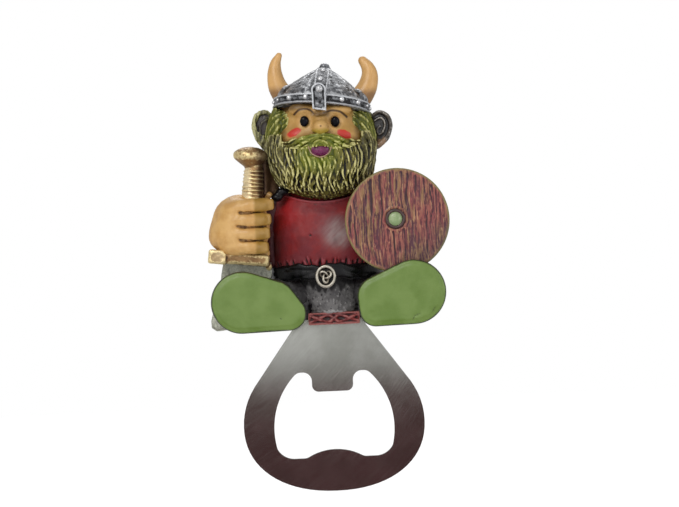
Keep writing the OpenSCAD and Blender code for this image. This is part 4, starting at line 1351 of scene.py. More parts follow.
SKULL = ball(P(-0.3, -7, 28.5), (11.0, 12.3, 12.3))
EYES = {"eye_right": P(-4.2, -18.7, 30.5), "eye_left": P(3.6, -18.75, 30.1)}
BROWS = (
    ((-6.8, 32.3), (-5.5, 33.4), (-3.9, 33.7), (-2.6, 33.3), (-1.8, 32.4)),
    ((0.9, 32.5), (2.2, 32.9), (3.6, 32.9), (5.2, 32.4), (6.7, 31.2)),
)
ROUGES = (((-7.0, 27.8), 1.9, 0.95, 25), ((5.8, 26.9), 2.0, 1.0, -25))  # place, half sizes and tilt


def rouge(p):
    """Mark of the two red cheeks."""
    total = np.zeros(len(p))
    for spot, a, b, tilt in ROUGES:
        t = math.radians(tilt)
        dx, dz = (p[:, [0, 2]] - XZ(spot)).T
        u, v = dx * math.cos(t) + dz * math.sin(t), dz * math.cos(t) - dx * math.sin(t)
        out = np.sqrt((u / a) ** 2 + (v / b) ** 2) + 0.10 * noise(p, 0.6, 101)
        total = np.maximum(total, ramp(out, 1.10, 0.86) * (p[:, 1] < Y0 - 8))
    return total


def head_shade(p):
    """Mark of the mustard shading under the helmet and beside the face, with pale rings round the eyes."""
    rim = ramp(p[:, 2] + 0.098 * np.abs(p[:, 0]), Z0 + 33.6, Z0 + 35.2)
    side = ramp(np.abs(p[:, 0] + 0.3), 8.6, 10.2)
    halo = 0
    for eye in EYES.values():
        out = np.hypot(p[:, 0] - eye[0], p[:, 2] - eye[2])
        halo = halo - 0.5 * np.exp(-(((out - 1.7) / 0.5) ** 2))
    return np.clip(0.5 + 0.75 * rim + 0.6 * side + halo + 0.16 * noise(p, 1.6, 102), 0, 1)


def sculpt_head():
    """Skull with cheeks, brow ridges, eye sockets, cut eyebrows and the crease across the nose's root."""
    face = joined(
        1.6, SKULL, ball(P(-5.7, -15.6, 27.0), (3.6, 3.3, 2.5)), ball(P(5.1, -15.6, 26.8), (3.6, 3.3, 2.5)),
        ball(P(-8.0, -13.9, 26.2), (2.9, 3.3, 2.4)), ball(P(7.6, -13.9, 26.0), (2.9, 3.3, 2.4)),
        ball(P(-4.6, -16.6, 33.6), (3.6, 2.4, 1.9)), ball(P(4.3, -16.6, 33.1), (3.6, 2.4, 1.9)),
        rod(P(-0.2, -18.3, 32.2), P(-0.2, -19.4, 29.5), 1.0, 1.3),
    )
    clay = Clay(face, FINE)
    for x, _, z in EYES.values():
        clay.cut(ball((x, Y0 - 20.0, z), (2.2, 1.7, 2.2)), 1.0)
    brow_paths = [drape(face, curve(XZ(*line), 14)) for line in BROWS]
    for path in brow_paths:
        clay.cut_strand(path, np.full(14, 0.18), 0.25)
    bridge = drape(face, XZ((-1.9, 32.4), (-0.9, 32.0), (0.2, 32.1), (1.6, 32.2)))
    clay.cut_strand(bridge, (0.1, 0.2, 0.2, 0.1), 0.5)
    clay.cut(BACK).cut(UPPER_POCKET)

    def line(p):
        brows = [ramp(near_path(p, path), 0.42, 0.16) for path in brow_paths]
        # under and temple are painted shade beneath the helmet's brim and at the temples
        brim = p[:, 2] + 0.13 * np.abs(p[:, 0] + 0.2) + 0.35 * noise(p, 1.4, 107)
        under = 0.7 * ramp(brim, Z0 + 33.9, Z0 + 35.0)
        temple = 0.5 * ramp(np.abs(p[:, 0] + 0.3) + 0.4 * noise(p, 1.2, 108), 8.0, 9.4)
        return np.max([*brows, under, temple, 0.6 * ramp(near_path(p, bridge), 1.1, 0.1)], 0)

    finish_clay("head", clay, "skin_tan", lambda p: 0.07 * rough(p, 2.2, 103) + 0.02 * rough(p, 0.6, 104),
                {"rouge": rouge, "line": line, "shade": head_shade}, passes=2)


def sculpt_nose():
    """Round nose with two wings, a pit at its tip and a painted green reflection of the beard under it."""
    clay = Clay(ball(P(-0.2, -20.7, 28.9), (1.95, 2.3, 1.85)), 0.14)
    clay.add(ball(P(-1.6, -19.6, 28.4), (0.95, 1.2, 0.85)), 0.8)
    clay.add(ball(P(1.2, -19.6, 28.3), (0.95, 1.2, 0.85)), 0.8)
    clay.cut(ball(P(-0.1, -23.05, 29.0), (0.16, 0.22, 0.16)), 0.1)
    low, pit = Z0 + 28.2, P(-0.1, -22.9, 29.0)
    finish_clay("nose", clay, "skin_tan", lambda p: 0.03 * rough(p, 1.0, 105), {
        "line": lambda p: 0.8 * ramp(np.linalg.norm(p - pit, axis=1), 0.34, 0.14),
        "shade": lambda p: np.full(len(p), 0.3),
        # painted reflection of the green beard on the nose's underside
        "beard_reflection": lambda p: 0.95 * ramp(p[:, 2] + 0.2 * noise(p, 0.8, 109), low + 0.6, low - 0.5),
    }, passes=2)


def sculpt_eyes():
    for node, spot in EYES.items():
        finish_clay(node, Clay(ball(spot, (1.15, 0.85, 1.4)), 0.12), "eye_black",
                    lambda p: 0.02 * rough(p, 0.7, 106))


def hair_lines(p, seed):
    """Fine upright scratches that split the locks."""
    bend = 0.6 * noise(p, (3.0, 6.0, 3.5), seed)
    q = p + np.stack([bend, bend, 0 * bend], 1)
    return 0.14 * noise(q, (0.40, 0.55, 5.0), seed + 1)


def sculpt_beard():
    """Beard of wavy locks laid over a core in three layers, with plainer strands round the sides."""
    core = Barrel(P(-0.4, -10.5, 20.0), [
        (7.5, 0, 0, 12.6, 9.6), (5.6, 0, 0, 13.3, 10.3), (3.9, 0, 0, 13.7, 10.7), (0.6, 0.1, 0, 13.2, 10.8),
        (-2.5, 0.3, 0, 12.6, 10.4), (-5.3, 0.5, 0, 11.1, 9.5), (-7.2, 0.6, -0.2, 8.9, 8.1),
        (-8.4, 0.6, -0.5, 6.2, 6.1), (-9.1, 0.6, -0.8, 3.8, 4.1), (-9.4, 0.6, -1.0, 1.8, 2.0),
    ])
    clay = Clay(core.form, 0.22)
    dice = np.random.default_rng(17)
    middle_x, top, lip, tip = X0 - 0.4, Z0 + 27.2, Z0 + 21.2, Z0 + 10.3

    def add_lock(xs, zs, width, lift):
        share = np.linspace(0, 1, len(xs))
        cover = lift * np.minimum(1, 4 * share + 0.3) * np.minimum(1, 4 * (1 - share) + 0.1)
        path = []
        for x, z, c in zip(xs, zs, cover):
            cx, cy, a, b = (np.interp(z, core.rows[0], row) for row in core.rows[1:])
            across = np.clip((x - cx) / a, -0.985, 0.985)
            path.append((cx + across * (a + c), cy - (b + c) * math.sqrt(1 - across**2), z))
        radii = width * (0.7 + 0.3 * np.sin(math.pi * np.minimum(1, 1.4 * share))) * (1 - 0.6 * share**3)
        clay.add_strand(np.array(path), radii, 0.05)

    steps = 15
    layers = ((0.98, 0.1, 0.46), (1.25, 0.5, 0.43), (1.9, 0.85, 0.36))
    for layer, (pitch, lift, width) in enumerate(layers):
        for x0 in np.arange(-12.9, 12.9, pitch):
            x0 = x0 + dice.normal(0, 0.14)
            phase = 0.10 * x0 + 0.8 * layer + dice.normal(0, 0.35)
            inner = abs(x0 + 0.5) < 3.3
            z0 = lip if inner else top - 3.2 * (abs(x0) < 10.0) - dice.uniform(0, 0.5)
            z0 -= dice.uniform(0, 5.5) if layer == 2 else 0
            reach = abs(0.74 * x0 - 0.15)
            end = Z0 + np.interp(reach, (0, 2, 4.2, 6.6, 8.9, 11.1), (9.6, 9.8, 10.2, 11.0, 12.2, 14.2))
            end += dice.uniform(-0.3, 0.6) + 0.7 * layer
            share = np.linspace(0, 1, steps)
            zs = z0 + (end - z0) * share
            drop = np.clip((top - zs) / 16, 0, 1)
            xs = x0 * (1 - 0.26 * drop**1.6) + 0.45 * drop
            xs += (0.25 + 0.75 * drop) * np.sin(2 * math.pi * (top - zs) / 10.5 + phase + 2.2)
            add_lock(xs, zs, width * dice.uniform(0.85, 1.15), lift)
    half = 24
    for i in range(2 * half):
        angle = (56 + 104 * (i % half + 0.5) / half) * (1 if i < half else -1)
        zs = np.linspace(top, Z0 + 12.6 + dice.uniform(0, 2), steps)
        path = [core.on(angle + 3.0 * math.sin(0.6 * (z - tip) + angle), z, 0.2 + 0.3 * (i % 2)) for z in zs]
        clay.add_strand(np.array(path), np.linspace(0.48, 0.3, steps), 0.04)
    clay.cut(ball(P(-0.5, -22.6, 23.1), (2.95, 2.9, 2.1)), 0.3)
    clay.cut(plane(2, Z0 + 27.6, True))
    clay.cut(block(P(0, -20, 28.2), (9.9, 8.0, 3.9), 1.2), 0.6)
    clay.cut(BACK).cut(UPPER_POCKET)

    # painted shade on the beard's sides and lower end, in random patches
    def dim(p):
        edge = ramp(np.abs(p[:, 0] - middle_x), 7.5, 13.0)
        bottom = ramp(p[:, 2], tip + 2.5, tip - 0.3)
        return np.clip(0.85 * edge + 0.9 * bottom + 0.25 * noise(p, 2.5, 115), 0, 1)

    def fresh(p):
        return ramp(np.abs(p[:, 0] - middle_x + 1), 7.5, 2.0) * ramp(p[:, 2], tip + 5, tip + 10)

    finish_clay("beard", clay, "beard_olive", lambda p: 0.04 * rough(p, 0.5, 111) + 1.35 * hair_lines(p, 117),
                {"dim": dim, "fresh": fresh}, span=0.6)


def sculpt_mouth():
    """Open mouth with a thin lower lip."""
    clay = Clay(ball(P(-0.5, -19.4, 23.0), (3.3, 1.9, 2.3)), 0.14)
    rim = curve([P(-3.5, -21.0, 24.0), P(-2.7, -21.7, 22.2), P(-0.5, -22.0, 21.15),
                 P(1.6, -21.8, 22.1), P(2.5, -21.1, 23.9)], 20)
    clay.add_strand(rim, np.full(20, 0.15), 0.1)
    finish_clay("mouth", clay, "mouth_purple", lambda p: 0.04 * rough(p, 0.9, 112),
                {"lip": lambda p: ramp(near_path(p, rim), 0.30, 0.20)})


def moustache_form(thin):
    """The two halves under the strands, made thinner by the given amount."""
    root, bend_right, bend_left = P(-0.2, -20.0, 26.3), P(-4.4, -19.9, 25.5), P(4.1, -19.9, 25.2)
    thick, end = 0.95 - thin, 0.4 - 0.5 * thin
    return joined(
        0.8, rod(root, bend_right, 0.8 - thin, thick), rod(bend_right, P(-9.2, -17.2, 24.9), thick, end),
        rod(root, bend_left, 0.8 - thin, thick), rod(bend_left, P(8.8, -17.0, 24.6), thick, end),
    )


def sculpt_moustache():
    """Moustache of swept strands, each with a fine ridge, and short curls over the mouth."""
    bed = moustache_form(0.0)
    clay = Clay(moustache_form(0.3), 0.16, 2.8)
    clay.add(ball(P(-0.25, -20.5, 26.5), (1.0, 0.75, 0.9)), 0.3)
    strands = [
        ((-0.9, 27.2), (-3.4, 27.2), (-6.0, 26.6), (-8.3, 25.4), (-10.2, 25.4), 0.40),
        ((-0.9, 26.9), (-3.2, 26.5), (-5.7, 25.7), (-7.8, 24.5), (-9.6, 24.6), 0.52),
        ((-0.9, 26.4), (-2.8, 25.9), (-4.9, 24.9), (-6.6, 23.9), (-8.0, 23.9), 0.50),
        ((-0.9, 26.0), (-2.3, 25.4), (-3.8, 24.4), (-5.0, 23.5), (-5.8, 23.4), 0.46),
        ((-0.9, 25.7), (-1.8, 25.0), (-2.8, 24.2), (-3.5, 23.6), (-4.0, 23.6), 0.42),
    ]
    dice = np.random.default_rng(19)
    count = 16
    for sign, drop in ((1, 0.0), (-1, -0.3)):
        for *line, thick in strands:
            spots = [(-0.25 + sign * (x + 0.25), z + drop * abs(x) / 9) for x, z in line]
            path = drape(bed, curve(XZ(*spots), count), 0.15, start=-26.0, stop=-16.5)
            out, missed = -sign * path[:, 0], path[:, 1] > Y0 - 17.2
            path[missed, 1] = np.interp(out[missed], out[~missed][::sign], path[~missed, 1][::sign])
            radii = 1.08 * thick * profile(count, (0.75, 1, 0.8, 0.4), (0, 0.35, 0.8, 1))
            clay.add_strand(path, radii * dice.uniform(0.9, 1.1))
            clay.add_strand((path + (0, -0.24, 0.06))[2:-2], 0.5 * radii[2:-2])
    for arch, thick in ((((-2.3, 24.0), (-1.5, 25.0), (-0.4, 25.4), (0.7, 25.0), (1.5, 24.0)), 0.36),
                        (((-1.5, 24.0), (-1.0, 24.6), (-0.4, 24.8), (0.3, 24.6), (0.8, 24.0)), 0.3)):
        path = np.insert(curve(XZ(*arch), 12), 1, Y0 - 21.7, axis=1)
        clay.add_strand(path, np.full(12, thick), 0.05)
    lip = curve([P(-3.3, -20.2, 24.2), P(-1.8, -21.0, 24.3), P(-0.5, -21.3, 24.35),
                 P(0.9, -21.0, 24.3), P(2.4, -20.2, 24.1)], 12)
    clay.add_strand(lip, np.full(12, 0.42), 0.2)
    finish_clay("moustache", clay, "beard_olive",
                lambda p: 0.05 * rough(p, 0.5, 113) + 0.10 * noise(p, (1.8, 1.0, 0.3), 118),
                {"fresh": lambda p: 0.9 * ramp(np.abs(p[:, 0]), 9, 5)}, span=0.5)


# Locks beside the face from the outermost inwards, as x and z along each.
HAIR_LINES = {
    "hair_right": (
        ((-10.0, 33.6), (-12.4, 32.6), (-14.0, 30.6), (-14.7, 28.0), (-14.9, 25.0)),
        ((-9.2, 33.2), (-11.6, 31.9), (-13.4, 29.8), (-14.4, 27.0), (-14.6, 24.2)),
        ((-8.6, 32.7), (-10.8, 31.4), (-12.6, 29.0), (-13.7, 26.2), (-14.0, 23.0)),
        ((-8.3, 31.8), (-10.0, 30.4), (-11.7, 28.2), (-12.9, 25.6), (-13.2, 22.2)),
        ((-8.4, 30.7), (-9.6, 29.3), (-11.0, 27.2), (-12.1, 24.8), (-12.5, 21.8)),
        ((-8.7, 29.4), (-9.5, 28.1), (-10.6, 26.2), (-11.4, 24.2), (-11.8, 21.8)),
        ((-9.2, 28.0), (-9.7, 26.9), (-10.4, 25.2), (-10.9, 23.6), (-11.1, 21.8)),
        ((-9.6, 26.7), (-9.9, 25.8), (-10.3, 24.6), (-10.6, 23.4), (-10.7, 22.2)),
    ),
    "hair_left": (
        ((10.6, 33.2), (12.6, 32.2), (13.9, 30.2), (14.4, 27.6), (14.2, 24.6)),
        ((9.6, 33.0), (11.8, 31.6), (13.2, 29.4), (13.9, 26.8), (13.8, 23.8)),
        ((8.5, 32.6), (10.6, 31.2), (12.2, 28.8), (13.2, 26.0), (13.3, 22.8)),
        ((8.0, 31.5), (9.7, 30.0), (11.3, 27.9), (12.3, 25.2), (12.6, 22.2)),
        ((8.0, 30.2), (9.2, 28.9), (10.5, 26.9), (11.5, 24.6), (11.9, 22.0)),
        ((8.2, 28.9), (9.0, 27.7), (10.0, 25.9), (10.8, 24.0), (11.2, 22.0)),
        ((8.7, 27.6), (9.2, 26.5), (9.8, 25.1), (10.3, 23.7), (10.5, 22.2)),
    ),
}


def sculpt_hair(node, sign):
    """One side's hair: locks draped beside the face, and upright strands round to the back."""
    core = Barrel(P(-0.3, -9.8, 28.0), [
        (6.6, 0, 0, 11.0, 7.2), (4.0, 0, 0, 12.2, 7.8), (1.0, 0, 0, 13.2, 8.4), (-1.5, 0, 0, 13.6, 9.0),
        (-3.0, 0, 0, 13.4, 9.8), (-5.2, 0, 0, 13.0, 10.2),
    ])
    centre_x, top, low = X0 - 0.3, Z0 + 34.2, Z0 + 22.6

    def side(x, y, z):
        inner = 9.2 + 0.13 * np.clip(top - z, 0, 12) + 0.7 * np.clip(Z0 + 26.6 - z, 0, 3)
        beyond = inner - sign * (x - centre_x) + 0 * y
        return -smooth_min(-core.dist(x, y, z), -beyond, 3.0)

    half = Form(side, core.form.low, core.form.high)
    bed = joined(1.0, half, SKULL)
    clay = Clay(half, FINE, 2.0)
    dice = np.random.default_rng(23 + sign)
    count = 16
    share = np.linspace(0, 1, count)
    radii = profile(count, (0.22, 0.5, 0.48, 0.22), (0, 0.2, 0.75, 1))
    lines = np.array(HAIR_LINES[node])
    for n, line in enumerate(lines):
        inward = lines[min(n + 1, len(lines) - 1)]
        for split, lift, thick in ((0.0, 0.25, 1.05), (0.5, 0.0, 0.95)):
            spots = curve(XZ(*((1 - split) * line + split * inward)), count)
            spots[:, 0] += 0.12 * np.sin(7 * share + dice.uniform(0, 6))
            path = drape(bed, spots, lift - 0.1, start=-24.0, stop=-8.0)
            for i in range(1, count):
                path[i, 1] = min(path[i, 1], path[i - 1, 1] + 1.1)
            clay.add_strand(path, radii * thick * dice.uniform(0.9, 1.1), 0.05)
    strands = 22
    for i in range(strands):
        begin = 73 + 88 * (i + 0.5) / strands
        swing = dice.normal(0, 1.0)
        path = [core.on(sign * (begin + swing * math.sin(4 * t)), z, 0.2 + 0.25 * (i % 2))
                for z, t in zip(np.linspace(top, low, count), share)]
        clay.add_strand(np.array(path), 0.46 * profile(count, (0.75, 1, 1, 0.6), (0, 0.3, 0.8, 1)), 0.04)
    clay.cut(BACK).cut(UPPER_POCKET)

    # painted shade under the helmet at the hair's roots and on the outer flanks, in random patches
    def dim(p):
        root = ramp(p[:, 2], top - 2.6, top - 0.6)
        flank = ramp(np.abs(p[:, 0] - centre_x), 11.5, 14.0)
        return np.clip(0.4 * flank + 0.9 * root + 0.25 * noise(p, 2.2, 116), 0, 1)

    finish_clay(node, clay, "beard_olive", lambda p: 0.04 * rough(p, 0.5, 114) + 0.8 * hair_lines(p, 119),
                {"dim": dim, "fresh": lambda p: np.full(len(p), 0.6)}, span=0.6)


def sculpt_right_ear():
    """Olive ear with a rolled rim, a fold, streaks of hair and a dark bowl."""
    clay = Clay(ball(P(-14.6, -9.4, 29.2), (2.7, 1.1, 4.2)), 0.18)
    rim = curve([P(-12.8, -9.6, 32.9), P(-14.6, -10.0, 33.6), P(-16.5, -10.2, 32.6), P(-17.2, -10.3, 30.0),
                 P(-16.6, -10.3, 27.2), P(-15.4, -10.2, 25.2), P(-14.3, -10.0, 24.2)], 22)
    clay.add_strand(rim, profile(22, (0.45, 0.6, 0.5, 0.7), (0, 0.3, 0.7, 1)), 0.25)
    fold = curve([P(-14.0, -10.2, 31.6), P(-15.4, -10.4, 30.6), P(-15.6, -10.4, 28.4),
                  P(-14.8, -10.3, 26.6)], 12)
    clay.add_strand(fold, np.full(12, 0.3), 0.15)
    streak = curve([P(-16.9, -10.6, 28.4), P(-16.3, -10.8, 26.4), P(-15.1, -10.6, 24.6)], 8)
    for dx, dz in ((0.35, 0.3), (0.85, 0.0), (1.35, -0.4), (1.85, -0.9)):
        clay.add_strand(streak + (dx, 0, dz), np.full(8, 0.2), 0.05)
    groove = curve([P(-14.2, -10.75, 33.4), P(-16.2, -10.85, 32.3), P(-16.95, -10.95, 30.0),
                    P(-16.5, -10.95, 27.6)], 14)
    clay.cut_strand(groove, np.full(14, 0.2), 0.1)
    bowl = P(-14.9, -10, 30.3)

    def inside(p):
        out = np.hypot((p[:, 0] - bowl[0]) / 1.5, (p[:, 2] - bowl[2]) / 2.3)
        grey_patch = 0.55 * ramp(noise(p, (0.7, 2.0, 2.4), 125), 0.0, 0.5)
        return np.maximum(grey_patch, ramp(out + 0.2 * noise(p, 0.8, 123), 1.15, 0.8))

    finish_clay("ear_right", clay, "beard_olive",
                lambda p: 0.05 * rough(p, 0.6, 121) + 1.2 * hair_lines(p, 127),
                {"dim": inside}, paint="ear_olive")


def sculpt_left_ear():
    """Dark ear with a rolled rim, a curled fold and a tan lobe."""
    clay = Clay(ball(P(15.2, -9.4, 28.2), (2.8, 1.1, 4.2)), 0.18)
    rim = curve([P(13.0, -9.6, 31.4), P(15.0, -10.0, 32.4), P(17.0, -10.2, 31.4), P(17.8, -10.3, 29.2),
                 P(17.3, -10.3, 26.8), P(15.9, -10.2, 24.9), P(14.2, -10.0, 23.6)], 22)
    clay.add_strand(rim, profile(22, (0.4, 0.5, 0.5, 0.75), (0, 0.3, 0.7, 1)), 0.25)
    fold = curve([P(13.8, -10.3, 30.2), P(15.3, -10.6, 30.9), P(16.3, -10.6, 29.6), P(15.9, -10.6, 27.6),
                  P(14.8, -10.5, 26.6), P(14.3, -10.5, 27.8), P(15.1, -10.6, 28.7)], 18)
    clay.add_strand(fold, np.full(18, 0.28), 0.12)
    lobe = P(15.4, -10, 24.4)

    def tan(p):
        out = np.hypot(p[:, 0] - lobe[0], p[:, 2] - lobe[2])
        return 0.8 * ramp(out + 0.6 * noise(p, 0.8, 124), 1.7, 0.7)

    finish_clay("ear_left", clay, "beard_olive", lambda p: 0.05 * rough(p, 0.6, 122), {"dim": tan},
                paint="ear_dark", passes=2)


# ------------------------------------------------------------------ helmet

HELMET_TURN = turned("Y", 6) @ turned("X", -9)
HELMET_AT = P(0.2, -9.2, 33.2)
BAND_X, BAND_Y, BAND_H = 12.3, 11.3, 2.35


DOME = (  # height over the helmet's foot, and share of the full width
    (0.0, 1.0), (2.7, 1.0), (4.0, 0.925), (5.55, 0.79), (7.2, 0.62), (8.75, 0.445), (10.2, 0.26),
    (11.3, 0.1), (11.7, 0.02),
)


def dome_form(grow=0):
    """The helmet's dome in its own frame, grown by some millimetres and less so near its tip."""
    rows = []
    for height, share in DOME:
        more = grow * (1 - 0.6 * ramp(height, 8.0, 11.5))
        rows.append((height, 0, 0, 11.7 * share + more, 10.7 * share + more))
    return Barrel(np.zeros(3), rows).form


def on_dome(grow, x, half_x):
    """Strip over the front of the dome, standing some millimetres above it."""
    strip = block((x, -6.6, 6.6), (half_x, 5.6, 6.4), 0.1, turned("Y", 2.5))
    return placed(overlap(dome_form(grow), strip), HELMET_AT, HELMET_TURN)


def patchy(p, seed):
    """Unevenness of rubbed silver along an edge, from 0.35 to 1."""
    return 0.35 + 0.65 * ramp(noise(p, 1.4, seed), -0.35, 0.35)


def in_helmet(x, y, z):
    """A place drawn in the helmet's own frame."""
    return HELMET_TURN @ np.array([x, y, z], float) + HELMET_AT


def helmet_height(p):
    """Height of points over the helmet's foot, along its own axis."""
    return ((p - HELMET_AT) @ HELMET_TURN)[:, 2]


STRAP = on_dome(0.45, -0.45, 1.6)


def sculpt_dome():
    """Hammered dome with swellings where the horns come out."""
    clay = Clay(placed(dome_form(), HELMET_AT, HELMET_TURN), 0.22, 2.5)
    for spot, size in (((10.6, -12.2, 36.2), 1.2), ((9.9, -12.2, 37.5), 0.9), ((11.3, -12.0, 35.4), 0.8),
                       ((-8.7, -11.4, 39.0), 1.1), ((-9.8, -11.8, 37.8), 0.9)):
        clay.add(ball(P(*spot), (size,) * 3), 0.9)
    clay.cut(BACK).cut(UPPER_POCKET)

    def hammer(p):
        q = (p - HELMET_AT) @ HELMET_TURN
        turn = np.arctan2(q[:, 0], -q[:, 1]) * 6
        streaks = noise(np.stack([turn, 0 * turn, q[:, 2]], 1), (0.9, 9, 6), 131)
        return 0.12 * streaks + 0.11 * rough(p, 1.5, 132) + 0.05 * noise(p, 0.5, 138)

    def low_dark(p):
        return ramp(helmet_height(p) + 1.4 * noise(p, (1.6, 1.6, 3.0), 140), 5.0, 2.6)

    finish_clay("helmet_dome", clay, "helmet_gunmetal", hammer, {"dim": low_dark})


def sculpt_ridge():
    """Strap over the dome from brow to tip, with a rail along each side."""
    clay = Clay(STRAP, 0.16)
    for x in (-2.0, 1.1):
        clay.add(on_dome(0.75, x, 0.18), 0.15)
    clay.cut(BACK)

    def trim(p):
        rail = ramp(STRAP.dist(*p.T) + 0.12 * noise(p, 0.7, 139), 0.10, 0.22)
        return 0.75 * patchy(p, 152) * rail

    finish_clay("helmet_ridge", clay, "helmet_gunmetal", lambda p: 0.07 * rough(p, 0.8, 133),
                {"trim": trim, "dim": lambda p: np.full(len(p), 0.6)})


def band_ring(grow, low, high, thick):
    """Ring around the helmet's foot, grown by some millimetres, between two heights."""
    form = Barrel(np.zeros(3), [(z, 0, 0, BAND_X + grow, BAND_Y + grow) for z in (low, high)]).form

    def dist(x, y, z):
        return np.maximum(form.dist(x, y, z), -(form.dist(x, y, 0 * z + (low + high) / 2) + thick))

    return placed(Form(dist, form.low, form.high), HELMET_AT, HELMET_TURN)


def sculpt_band():
    """Band round the helmet's foot with a raised rail along both edges."""
    band = band_ring(0, 0.1, BAND_H, 1.5)
    clay = Clay(band, 0.18)
    clay.add(band_ring(0.30, 0.0, 0.45, 1.6), 0.2)
    clay.add(band_ring(0.28, 2.05, 2.4, 1.6), 0.2)
    clay.cut(BACK).cut(UPPER_POCKET)

    def trim(p):
        rail = ramp(band.dist(*p.T) + 0.13 * noise(p, 0.7, 139), 0.14, 0.26)
        return rail * patchy(p, 151) * (0.15 + 0.85 * ramp(helmet_height(p), 1.0, 1.6))

    def rim_dark(p):
        return 0.9 * ramp(helmet_height(p) + 0.3 * noise(p, 1.2, 142), 1.0, 0.4)

    finish_clay("helmet_band", clay, "helmet_gunmetal", lambda p: 0.08 * rough(p, 0.9, 134),
                {"trim": trim, "dim": rim_dark})


def sculpt_nose_guard():
    """Arched plate over the nose's root with a raised edge and two notches at its foot."""
    arch, foot = P(-0.25, 0, 38.1), P(-0.25, 0, 33.2)

    def outline(x, z):
        cap = np.sqrt((x - arch[0]) ** 2 + (z - arch[2]) ** 2) - 1.85
        lean = -0.16 * (x - foot[0])
        stem = np.maximum(np.abs(x - arch[0]) - 1.72, np.maximum(z - arch[2], foot[2] + lean - z))
        return np.minimum(cap, stem)

    low, high = corners("nose_guard")
    low, high = low - 0.6, high + 0.6
    face = Y0 - 21.25
    plate = slab_of(outline, face + 0.2, 1.1, 0.2, low[[0, 2]], high[[0, 2]])
    edge = slab_of(lambda x, z: np.abs(outline(x, z) + 0.16) - 0.2, face, 1.2, 0.14,
                   low[[0, 2]], high[[0, 2]])
    clay = Clay(Form(plate.dist, low, high + (0, 3, 0)), 0.14)
    clay.add(rod(P(-0.25, -20.6, 37.4), P(0.1, -17.8, 38.7), 1.4, 1.2), 0.3)
    clay.add(edge, 0.12)
    for x in (-0.9, 0.5):
        clay.cut(rod(P(x, -23.2, 34.2), P(x + 0.3, -23.2, 33.2), 0.95, 0.95), 0.15)

    def trim(p):
        return patchy(p, 153) * ramp(plate.dist(*p.T) + 0.12 * noise(p, 0.6, 139), 0.04, 0.18)

    finish_clay("nose_guard", clay, "helmet_gunmetal", lambda p: 0.10 * rough(p, 0.9, 135), {"trim": trim})


BAND_RIVETS = (  # angle from the front in degrees, and radius
    (-88, 0.55), (-66, 0.45), (-43, 0.68), (-20.0, 0.72), (24.2, 0.68), (48.5, 0.66), (70, 0.45), (88, 0.55),
)


def rivet_beads():
    """Places and radii of the rivets on the band, on the strap and on the nose guard."""
    beads = []
    for angle, size in BAND_RIVETS:
        turn = math.radians(angle)
        beads.append((in_helmet(BAND_X * math.sin(turn), -BAND_Y * math.cos(turn), 1.42), size))
    beads += zip(drape(STRAP, XZ((1.05, 43.6), (0.25, 41.2)), -0.1), (0.66, 0.72))
    beads.append((P(-0.1, -22.35, 38.5), 0.95))
    return beads


def sculpt_rivets():
    (spot, size), *others = rivet_beads()
    first = ball(spot, (size,) * 3)
    clay = Clay(Form(first.dist, (-14, -24, 30), (14, -4, 46)), 0.16, 0.5)
    for spot, size in others:
        clay.add(ball(spot, (size,) * 3))
    finish_clay("helmet_rivets", clay, "rivet_silver", lambda p: 0.06 * rough(p, 0.6, 136))


def sculpt_finial():
    """Small knob on the dome's tip."""
    clay = Clay(ball(P(1.5, -7.4, 44.7), (1.25, 1.1, 1.0)), 0.14)
    clay.add(ball(P(1.2, -7.6, 43.9), (2.0, 1.6, 0.8)), 0.6)
    finish_clay("helmet_finial", clay, "rivet_silver", lambda p: 0.05 * rough(p, 0.6, 137))


# Places along each horn from its root to its tip, and its radii there.
HORNS = {
    "horn_right": (((-8.6, -9.2, 36.6), (-10.6, -9.2, 39.8), (-11.35, -9.2, 43.2), (-11.05, -9.2, 46.0),
                    (-10.1, -9.2, 48.0)), (3.0, 2.5, 1.9, 1.35, 0.8)),
    "horn_left": (((9.6, -9.2, 35.2), (12.0, -9.2, 38.4), (13.0, -9.2, 41.6), (12.65, -9.2, 43.9),
                   (11.35, -9.2, 45.8)), (3.0, 2.6, 2.15, 1.7, 1.15)),
}


def sculpt_horn(node):
    """Horn that curves up from the side of the dome."""
    line, widths = HORNS[node]
    path = curve([P(*p) for p in line], 22)
    radii = profile(22, widths)
    clay = Clay(rod(path[0], path[1], radii[0], radii[1]), 0.2, 12.0)
    clay.add_strand(path, radii)
    clay.cut(BACK)
    start, span = path[0][2] + 1.6, path[-1][2] - path[0][2]
    finish_clay(node, clay, "horn_tan", lambda p: 0.08 * rough(p, (1.6, 1.6, 4.0), 141),
                {"root": lambda p: np.clip((p[:, 2] - start) / span, 0, 1)}, passes=2)


# ------------------------------------------------------------------ carried-over CAD nodes

def dress_cad_nodes():
    for node, slot, width in (
        ("opener_plate", "steel_plate", 0.35), ("tang_epoxy", "epoxy_fill", 0.1),
        ("magnet_lower", "magnet_ferrite", 0.25), ("magnet_upper", "magnet_ferrite", 0.25),
        ("magnet_epoxy", "epoxy_fill", 0.1),
    ):
        part = frame["nodes"][node]
        part.data.materials.clear()
        part.data.materials.append(PAINTS[slot])
        bevel = part.modifiers.new("edge", "BEVEL")
        bevel.width = width * MM
        bevel.segments = 3
        bevel.limit_method = "ANGLE"
        bevel.angle_limit = math.radians(35)
        bevel.harden_normals = True


# ------------------------------------------------------------------ studio

def studio_paint(name, colour, glow, tint=(1, 1, 1)):
    material = bpy.data.materials.new(name)
    material.use_nodes = True
    shader = material.node_tree.nodes["Principled BSDF"]
    shader.inputs["Base Color"].default_value = (*colour, 1.0)
    shader.inputs["Roughness"].default_value = 0.7
    shader.inputs["Emission Color"].default_value = (*tint, 1)
    shader.inputs["Emission Strength"].default_value = glow
    return material


